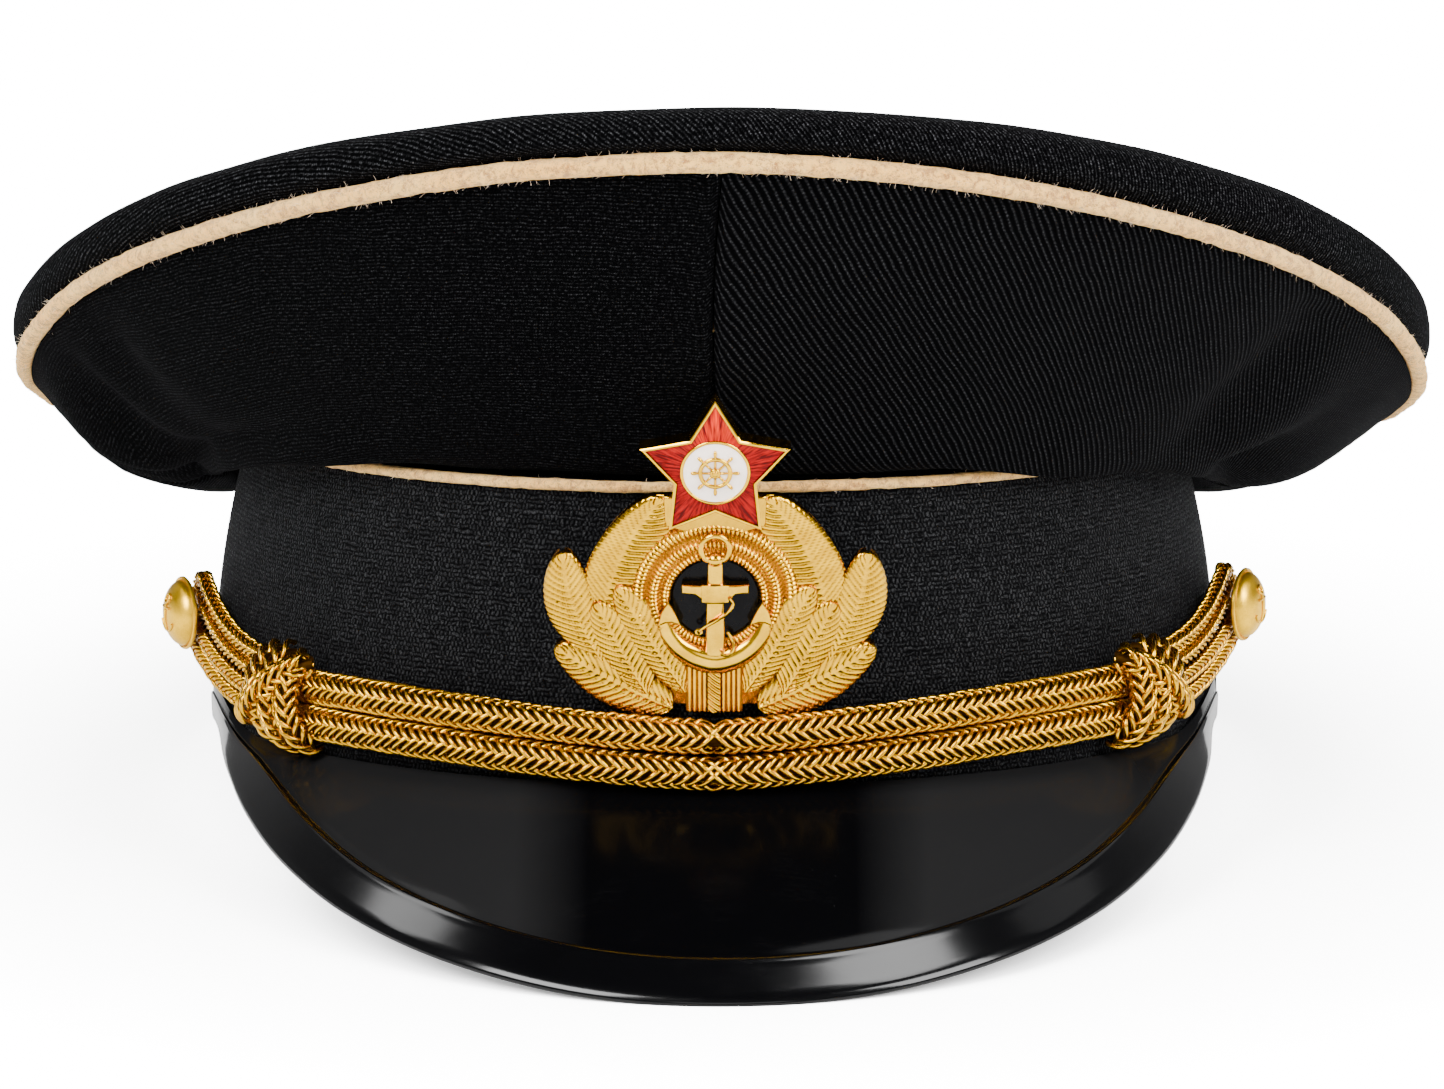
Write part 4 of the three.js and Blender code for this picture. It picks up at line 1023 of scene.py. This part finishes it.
badge = {"x": -1.05, "y": -102.08, "z": 58.9, "lean": radians(12), "bend": 150, "back": 2.4, "post": 1.5}
rings = {
    "profile": [
        (14.1, 0.2), (14, 1.1), (13.7, 1.9), (13.1, 2.5), (12.4, 2.5), (11.8, 2.15), (11.45, 1.7),
        (11.25, 1.8), (11, 2.4), (10.5, 2.95), (9.9, 2.95), (9.45, 2.5), (9.15, 1.9), (9, 1.95),
        (8.8, 2.4), (8.35, 2.75), (7.85, 2.65), (7.45, 2.2), (7.2, 1.7), (7.15, 0.9),
    ],
    "ribs": [(14.2, 11.45, 104, 0.42), (11.3, 9.1, 88, 0.5), (9.05, 7.1, 72, 0.42)],  # out, in, count, depth
    "steps": 624,
}
leaves = {  # a column for each of the left half; "rib" is the midrib's offset
    "stalk": [(-18.3, -2.4), (-18.6, -12.4), (-7.2, -20.2), (-11.2, -17.6), (-4.9, -17)],
    "tip": [(-8.7, 18.1), (-25.2, 7.3), (-26.5, -10.2), (-19.6, -1.2), (-16, 2)],
    "half": [5.8, 4.3, 4.4, 3.9, 3.8], "bow": [0, 1.8, 0.8, 0, 0], "widest": [0.66, 1, 0.8, 1, 1],
    "layer": [1.9, 2.1, 2.3, 2.6, 2.8], "veins": [21, 19, 17, 16, 19], "rib": [1.5, -0.4, -0.3, 0.4, 0.3],
}
leafForm = {
    "steps": 120, "rows": 22, "blunt": 0.45, "crown": 0.6, "dish": 0.32, "dishWidth": 0.9,
    "rib": 0.5, "ribWidth": 0.34, "vein": 0.44, "veinSlant": 2.8, "veinSink": 0.3, "crinkle": 0.025,
}


def seat(shape):  # bends flat work round the band, leans it and puts it in its place
    layer = shape.loops.layers.uv.get("cloth") or shape.loops.layers.uv.new("cloth")
    for face in shape.faces:
        for loop in face.loops:
            loop[layer].uv = loop.vert.co.xy
    forward, upright = sin(badge["lean"]), cos(badge["lean"])
    for vert in shape.verts:
        p = vert.co
        out = p.z - badge["back"] - p.x ** 2 / (2 * badge["bend"])
        y, z = badge["y"] - p.y * forward - out * upright, badge["z"] + p.y * upright - out * forward
        vert.co = Vector((badge["x"] + p.x, y, z)) * mm
    return shape


def markPaintedShade(shape, shadeAt):  # painted shade: 1 on the high metal, 0 down in the hollows where shade falls
    layer = shape.verts.layers.float.get("paintedShade") or shape.verts.layers.float.new("paintedShade")
    for vert in shape.verts:
        vert[layer] = shadeAt(vert.co)
    return shape


def bothSides(half):  # an outline or line with its mirror image
    return half + [(-p[0], *p[1:]) for p in reversed(half) if p[0]]


def circle(radius, y=0, count=64):
    return [(radius * cos(a), y + radius * sin(a)) for a in spread(0, fullTurn, count)[:-1]]


def plate(outline, low, high, edge, segments=2, fine=None):
    shape = bmesh.new()
    face = shape.faces.new([shape.verts.new((x, y, low)) for x, y in outline])
    face.normal_update()
    raised = bmesh.ops.extrude_face_region(shape, geom=[face])
    lifted = [item for item in raised["geom"] if isinstance(item, bmesh.types.BMVert)]
    bmesh.ops.translate(shape, verts=lifted, vec=(0, 0, high - low))
    if edge:
        rim = [e for e in shape.edges if all(abs(v.co.z - high) < 1e-5 for v in e.verts)]
        bmesh.ops.bevel(
            shape, geom=rim, offset=edge, segments=segments, affect="EDGES", profile=0.5, material=-1)
    return fineCut(shape, fine) if fine else shape


def fineCut(shape, size):  # shorter edges, so that a flat plate can bend
    for _ in range(3):
        long = [e for e in shape.edges if e.calc_length() > size]
        if not long:
            break
        bmesh.ops.subdivide_edges(shape, edges=long, cuts=1, use_grid_fill=True)
    bmesh.ops.triangulate(shape, faces=[f for f in shape.faces if len(f.verts) > 4])
    return shape


def joinShapes(shapes):
    whole = bmesh.new()
    for shape in shapes:
        mesh = bpy.data.meshes.new("joined")
        shape.to_mesh(mesh)
        shape.free()
        whole.from_mesh(mesh)
        bpy.data.meshes.remove(mesh)
    return whole


def leafShape(mirror, stalk, tip, widest, bow, power, layer, veins, ribOffset):
    stalk, tip = Vector(stalk), Vector(tip)
    along = tip - stalk
    across = Vector((-along.y, along.x)).normalized()
    sections, shades = [], []
    form = leafForm
    for share in spread(0.0, 1.0, form["steps"]):
        half = widest * max(0.0, sin(pi * min(1, share * 0.996 + 0.002) ** power)) ** form["blunt"]
        middle = stalk + along * share + across * bow * sin(pi * share)
        ribAt = ribOffset * sin(pi * share) / max(half, 1)
        line, shade = [(*(middle + across * half), 0.0)], [0.2]
        for w in spread(1, -1, form["rows"]):
            away = (w - ribAt) / (1 - ribAt) if w > ribAt else (ribAt - w) / (1 + ribAt)
            groove = abs(sin(pi * (share * veins - away * form["veinSlant"]))) ** 0.6
            rib = exp(-(away * half / form["ribWidth"]) ** 2)
            dish = form["dish"] * exp(-(away * half / form["dishWidth"]) ** 2)
            fade = min(1, half / 1.2) * (1 - rib)
            z = layer - form["crown"] * away ** 2.4 - dish + form["vein"] * groove * fade * (1 - away ** 8)
            z += form["rib"] * rib * (1 - 0.6 * share) - form["veinSink"] * fade
            crinkle = 1 + form["crinkle"] * (groove - 0.5) * away
            line.append((*(middle + across * w * half * crinkle), max(0.15, z * min(1, half + 0.25))))
            # shade is painted shade: dark in the vein grooves and at the leaf's edges
            shade.append(max(rib, smoothStep(groove, 0.25, 0.8) * (1 - 0.5 * abs(away) ** 8)))
        line.append((*(middle - across * half), 0.0))
        shades.append(shade + [0.2])
        sections.append([Vector((x * mirror, y, z)) for x, y, z in line])
    return pointOutward(loft(sections, shadeAt=lambda i, j: shades[i][j], unit=1))


def ringShape():
    sections, shades = [], []
    for k in range(rings["steps"]):
        turn = fullTurn * k / rings["steps"]
        line, shade = [], []
        for r, z in rings["profile"]:
            # tone is painted shade: darker in the gaps between the ribs
            lift, tone = 0, 0.55
            for outer, inner, count, depth in rings["ribs"]:
                if inner < r < outer:
                    free = sin(pi * (outer - r) / (outer - inner)) ** 0.5
                    rib = abs(cos(turn * count / 2 + 0.5 * (r - inner)))
                    lift, tone = depth * free * (rib - 0.5), 0.4 + 0.6 * smoothStep(rib, 0.2, 0.7)
            line.append(Vector((r * sin(turn), r * cos(turn), z + lift)))
            shade.append(tone)
        sections.append(line)
        shades.append(shade)
    return pointOutward(loft(sections, closed=True, shadeAt=lambda i, j: shades[i % len(shades)][j], unit=1))


def stalkShape():  # bundle of stems with a twisted one in the middle
    left, right, twisted, stem = -4.85, 4.45, 1.15, 0.83
    sections = []
    for y in spread(-12.2, -20.4, 60):
        line = [Vector((left, y, 0))]
        for x in spread(left, right, 72):
            middle = x + 0.2
            if abs(middle) < twisted:
                twist = abs(sin(pi * (y * 0.95 + middle * 0.75)))
                z = 2.6 + 0.5 * sqrt(max(0, 1 - (middle / twisted) ** 2)) + 0.25 * twist
            else:
                z = 2.45 + 0.5 * abs(sin(pi * (abs(middle) - twisted) / stem)) ** 0.7
            line.append(Vector((x, y, z)))
        sections.append(line + [Vector((right, y, 0))])
    # painted shade: the lower metal between the stems is darker
    return pointOutward(markPaintedShade(loft(sections, unit=1), lambda co: smoothStep(co.z, 2.5, 2.85)))


def starOutline(inset):
    points = []
    for k in range(10):
        turn = pi * k / 5
        radius = star["notch"] - inset if k % 2 else star["tip"] - 1.75 * inset
        points.append((radius * sin(turn), star["y"] + radius * cos(turn)))
    return points


def starFrameShape():  # star plate with a raised rim round the enamel
    shape = plate(starOutline(0), 0, star["top"], 0)
    top = [f for f in shape.faces if all(abs(v.co.z - star["top"]) < 1e-5 for v in f.verts)]
    last = 0.0
    for inset, height in ((0.16, 0.14), (star["rim"] - 0.12, 0.0), (star["rim"], -0.95)):
        bmesh.ops.inset_region(shape, faces=top, thickness=inset - last, depth=0)
        for vert in top[0].verts:
            near = min(starOutline(inset), key=lambda p: (Vector(p) - vert.co.xy).length)
            vert.co = Vector((*near, vert.co.z + height))
        last = inset
    return fineCut(pointOutward(shape), 3)


def ringAt(radius, tube, centre, steps=48, count=10, flat=1.0):
    shape = bmesh.new()
    made = bmesh.ops.create_circle(shape, segments=count, radius=tube)["verts"]
    for vert in made:
        vert.co = Vector((radius + vert.co.x, 0, vert.co.y * flat))
    spun(shape, made, steps)
    bmesh.ops.remove_doubles(shape, verts=shape.verts, dist=1e-4)
    bmesh.ops.translate(shape, verts=shape.verts, vec=centre)
    return pointOutward(shape)


def rodShape(points, radii, count=8, flat=1.0):  # a rod through points, its thickness given at each
    sections = []
    for behind, point, ahead, radius in zip(points[:1] + points, points, points[1:] + points[-1:], radii):
        tangent = (ahead - behind).normalized()
        side = up.cross(tangent).normalized()
        over = tangent.cross(side) * flat
        ring = [point + side * x + over * y for x, y in circle(radius, count=count)]
        sections.append(ring + ring[:1])
    shape = loft(sections, unit=1)
    bmesh.ops.holes_fill(shape, edges=[e for e in shape.edges if e.is_boundary], sides=0)
    return pointOutward(shape)


def smoothLine(line, steps):
    points = [Vector(p) for p in line]
    return [alongCurve(points, at)[0] for at in spread(0, 1, steps)]


anchor = {  # outlines across and up; "arms" also has the rod's thickness
    "shank": [(-1.25, 7.6), (-1.35, 3.6), (-1.5, 0), (-1.6, -10.4)],
    "stock": [(-5.5, 3.3), (-5.5, 1.9), (-3.4, 1.6), (-2.4, 0.7)],
    "collar": [(-2.3, 3.5), (-2.3, 0.4), (-1.6, 0)],
    "crownTip": [(-1.7, -11.6), (0, -13.6), (1.7, -11.6), (1.4, -9.6), (-1.4, -9.6)],
    "fluke": [(7.75, 0.3), (6.55, -2.1), (5.6, -4.3), (7.2, -3.9), (8.1, -4.0), (9.5, -4.6), (8.9, -2.2)],
    "arms": [(8.6, -2.6, 0.6), (8.35, -4.4, 1.15), (7.5, -6.6, 1.6), (5.9, -8.7, 1.95), (3.6, -10.3, 2.2),
             (1.2, -11.1, 2.35), (0, -11.25, 2.4)],
    "rope": [(2.3, 1.2, 4.35), (2.9, 0.0, 4.1), (2.0, -1.6, 4.15), (0.2, -2.9, 4.25), (-1.7, -4.2, 4.0),
             (-2.6, -5.2, 3.5)],
    "ropeEnd": [(2.0, -5.8, 2.6), (2.9, -7.0, 3.2), (2.9, -8.4, 3.9), (1.9, -9.3, 4.3), (0.9, -8.9, 4.35)],
}


def anchorShapes():
    shapes = [
        plate(bothSides(anchor["shank"]), 1.4, 3.75, 0.62, 3, fine=2.4),
        plate(bothSides(anchor["stock"]), 2.2, 4.1, 0.4, fine=2.4),
        plate(bothSides(anchor["collar"]), 2.2, 4.3, 0.35, fine=2.4),
        plate(anchor["crownTip"], 1.4, 3.5, 0.6, 3, fine=1.6),
    ]
    for sign in sides.values():
        fluke = plate([(sign * x, y) for x, y in anchor["fluke"]], 1.9, 3.7, 0.5, 3)
        shapes.append(fineCut(pointOutward(fluke), 1.6))
    arms = bothSides(anchor["arms"])
    radii = np.interp(spread(0, 1, 44), spread(0, 1, len(arms) - 1), [r for _, _, r in arms])
    shapes.append(rodShape(smoothLine([(x, y, 2.25) for x, y, _ in arms], 44), radii.tolist(), 14, 0.85))
    for line in (anchor["rope"], anchor["ropeEnd"]):
        shapes.append(rodShape(smoothLine(line, 26), [0.27 + 0.05 * (k % 2) for k in range(27)]))
    shapes += [ringAt(2.35, 0.52, (0, 9.7, 3.3)), ringAt(0.45, 0.22, (-2.7, -5.4, 3.5), 16, 8)]
    ball = bmesh.new()
    bmesh.ops.create_uvsphere(ball, u_segments=20, v_segments=12, radius=1.45)
    bmesh.ops.scale(ball, vec=(1, 0.85, 0.9), verts=ball.verts)
    bmesh.ops.translate(ball, verts=ball.verts, vec=(0, 7.7, 3.1))
    return [pointOutward(shape) for shape in shapes + [ball]]


wheel = {  # small ship's wheel on the white enamel
    "rim": 2.45, "rimRod": 0.36, "hubRing": 0.62, "hubRod": 0.3, "hub": 0.5, "spokes": 8,
    "along": [0.6, 1.4, 2.2, 2.5, 2.9, 3.3, 3.65, 3.95, 4.0],
    "radius": [0.17, 0.22, 0.17, 0.2, 0.2, 0.3, 0.3, 0.2, 0.08],
}


def wheelShapes():
    y, z = star["y"], star["top"] + 0.1
    shapes = [
        ringAt(wheel["rim"], wheel["rimRod"], (0, y, z), 48, 8, 0.8),
        ringAt(wheel["hubRing"], wheel["hubRod"], (0, y, z + 0.15), 24, 8),
        plate(circle(wheel["hub"], y, 16), z - 0.5, z + 0.5, 0.15),
    ]
    hub = Vector((0, y, z + 0.05))
    for x, y in circle(1, 0, wheel["spokes"]):
        shapes.append(rodShape([hub + Vector((x, y, 0)) * d for d in wheel["along"]], wheel["radius"]))
    return shapes


wreath = {
    "backing": [(0, 18.6), (9.6, 18.4), (13.6, 14.6), (17.6, 8), (20.8, 1), (21.8, -5), (19.5, -11),
                (14, -16.5), (8.6, -20), (0, -20)],  # what shows between the leaves
    "saddle": [(0, 17.4), (8.4, 18.6), (8.2, 13.2), (5, 12.2), (0, 12.2)],  # under the star
}


def wreathShapes():
    shapes = [leafShape(mirror, *leaf) for mirror in (1, -1) for leaf in zip(*leaves.values())]
    backing = plate(bothSides(wreath["backing"])[::-1], 0.05, 1.25, 0.25, fine=3)
    saddle = plate(bothSides(wreath["saddle"]), 0.8, 2.3, 0.3)
    saddle = fineCut(pointOutward(saddle), 2)
    # painted shade: the backing between the leaves is darker, the saddle under the star a little
    shapes += [ringShape(), stalkShape(), markPaintedShade(pointOutward(backing), lambda co: 0.45)]
    return shapes + [markPaintedShade(saddle, lambda co: 0.9)]


def buildBadge():
    base, top, y = star["base"], star["top"], star["y"]
    addPiece("wreath", seat(joinShapes(wreathShapes())), gilt, ["badge_body"], sharp=55)
    addPiece("starFrame", seat(starFrameShape()), paleGilt, sharp=35)
    addPiece("anchor", seat(joinShapes(anchorShapes())), paleGilt, sharp=40)
    ring = ringAt(star["disc"] + 0.12, 0.28, (0, y, top - 0.05), 72, 8, 0.8)
    addPiece("discRing", seat(ring), paleGilt)
    addPiece("shipWheel", seat(joinShapes(wheelShapes())), paleGilt)
    red = plate(starOutline(star["rim"] - 0.02), base, top - 0.12, 0.12, fine=2)
    white = plate(circle(star["disc"], y), base, top + 0.02, 0.2, 3)
    black = plate(circle(blackDisc["radius"]), blackDisc["base"], blackDisc["top"], 0.3, 3)
    for shape, enamel, slot, replaced, sharp in (
            (red, redEnamel, "red_enamel", "star_enamel", 50),
            (white, whiteEnamel, "white_enamel", "star_disc", 60),
            (black, blackEnamel, "black_enamel", "centre_enamel", 60)):
        addPiece(enamel.name + "Fill", seat(pointOutward(shape)), enamel, [replaced], sharp)
    foot = onBand(0, 33.5, 0.35)
    start = Vector((badge["x"], badge["y"] + 2, badge["z"] + 0.3))
    end = Vector((badge["x"], foot.y, foot.z))
    post = [start.lerp(end, t) for t in spread(0, 1, 4)]
    addWires("badgePost", [post], badge["post"], gilt, sides=3)


buildBadge()
print("badge made")

# Studio, in metres

studio = {
    "floorSize": 8.0, "floorGlow": 14.0, "paintedShadowReach": 0.12, "worldGlow": 14.0,
    "wallLight": 0.42, "ceilingLight": 0.03,  # what the cap sees low down and overhead
    "camera": (0.00005, -1.20561, 0.3434), "lookDown": radians(14), "lens": 172.96, "sensor": 36,
    "target": (0, 0, 0.07),
}
lights = {  # place, width and height, power; panels hang level
    "keySoftbox": ((-0.8, -1.0, 1.1), (0.7, 0.7), 60),
    "fillSoftbox": ((1.0, -0.8, 0.9), (0.6, 0.8), 46),
    "topSoftbox": ((0, 1.1, 1.2), (0.6, 0.5), 22),
    "leftStrip": ((-0.9, 0.15, 1.3), (0.32, 0.4), 5),
    "rightStrip": ((0.45, -0.26, 1.3), (0.3, 0.4), 9),
    "leftPanel": ((-0.78, 0.6, 1.31), (0.9, 1.0), 2.8),
    "rightPanel": ((0.85, 0.6, 1.31), (0.9, 1.0), 2.8),
    "frontSoftbox": ((0.1, -1.8, 0.75), (0.9, 0.5), 4),
    "backSoftbox": ((0, 1.9, 0.9), (0.8, 0.5), 16),
}


def shownOnly(tree, glow, otherwise):  # one strength for what the camera sees, one for what lights the cap
    seen = addNode(tree, "LightPath", {}, "Is Camera Ray")
    return addNode(tree, "Mix", {"Factor": seen, 2: otherwise, 3: glow}, data_type="FLOAT")


def buildFloor():
    shape = bmesh.new()
    bmesh.ops.create_grid(shape, x_segments=2, y_segments=2, size=studio["floorSize"] / 2)
    mesh = bpy.data.meshes.new("floor")
    shape.to_mesh(mesh)
    shape.free()
    material, tree = newMaterial("paleFloor", Roughness=0.9, Specular_IOR_Level=0.1, Emission_Color=(1, 1, 1))
    tone = remap(speckle(addNode(tree, "TexCoord", {}, "Object"), 3.0), 0.3, 0.7)
    # painted shadow: the floor's camera-only glow dims near the cap
    paintedShadowMask = addNode(tree, "AmbientOcclusion", {"Distance": studio["paintedShadowReach"]}, "AO", samples=16)
    shader = tree.nodes["Principled BSDF"].inputs
    feed(shader["Emission Strength"], shownOnly(tree, paintedShadowMask ** 1.6 * studio["floorGlow"], 0.0))
    mesh.materials.append(finishMaterial(material, blend(tone, (0.93, 0.93, 0.93), (0.96, 0.96, 0.96))))
    addObject("floor", mesh)


def buildWorld():
    world = bpy.data.worlds.new("whiteRoom")
    world.use_nodes = True
    tree = world.node_tree
    height = partsOf(addNode(tree, "TexCoord", {}, "Generated"))[2]
    room = remap(height, 0.45, 0.93, studio["wallLight"], studio["ceilingLight"])
    feed(tree.nodes["Background"].inputs["Color"], (1, 1, 1))
    feed(tree.nodes["Background"].inputs["Strength"], shownOnly(tree, studio["worldGlow"], room))
    bpy.context.scene.world = world


def addLight(name, place, size, power):
    light = bpy.data.lights.new(name, "AREA")
    light.shape = "RECTANGLE"
    light.size, light.size_y = size
    light.energy = power
    lamp = addObject(name, light)
    lamp.location = place
    target = (*place[:2], 0) if name.endswith("Panel") else studio["target"]
    lamp.rotation_euler = (Vector(target) - Vector(place)).to_track_quat("-Z", "Y").to_euler()


def addCamera():
    camera = bpy.data.cameras.new("camera")
    camera.sensor_width = studio["sensor"]
    camera.lens = studio["lens"]
    camera.clip_start, camera.clip_end = 0.05, 50
    viewer = addObject("camera", camera)
    viewer.location = studio["camera"]
    viewer.rotation_euler = (pi / 2 - studio["lookDown"], 0, 0)
    bpy.context.scene.camera = viewer


buildFloor()
buildWorld()
for label, (place, size, power) in lights.items():
    addLight(label, place, size, power)
addCamera()
print("studio made")
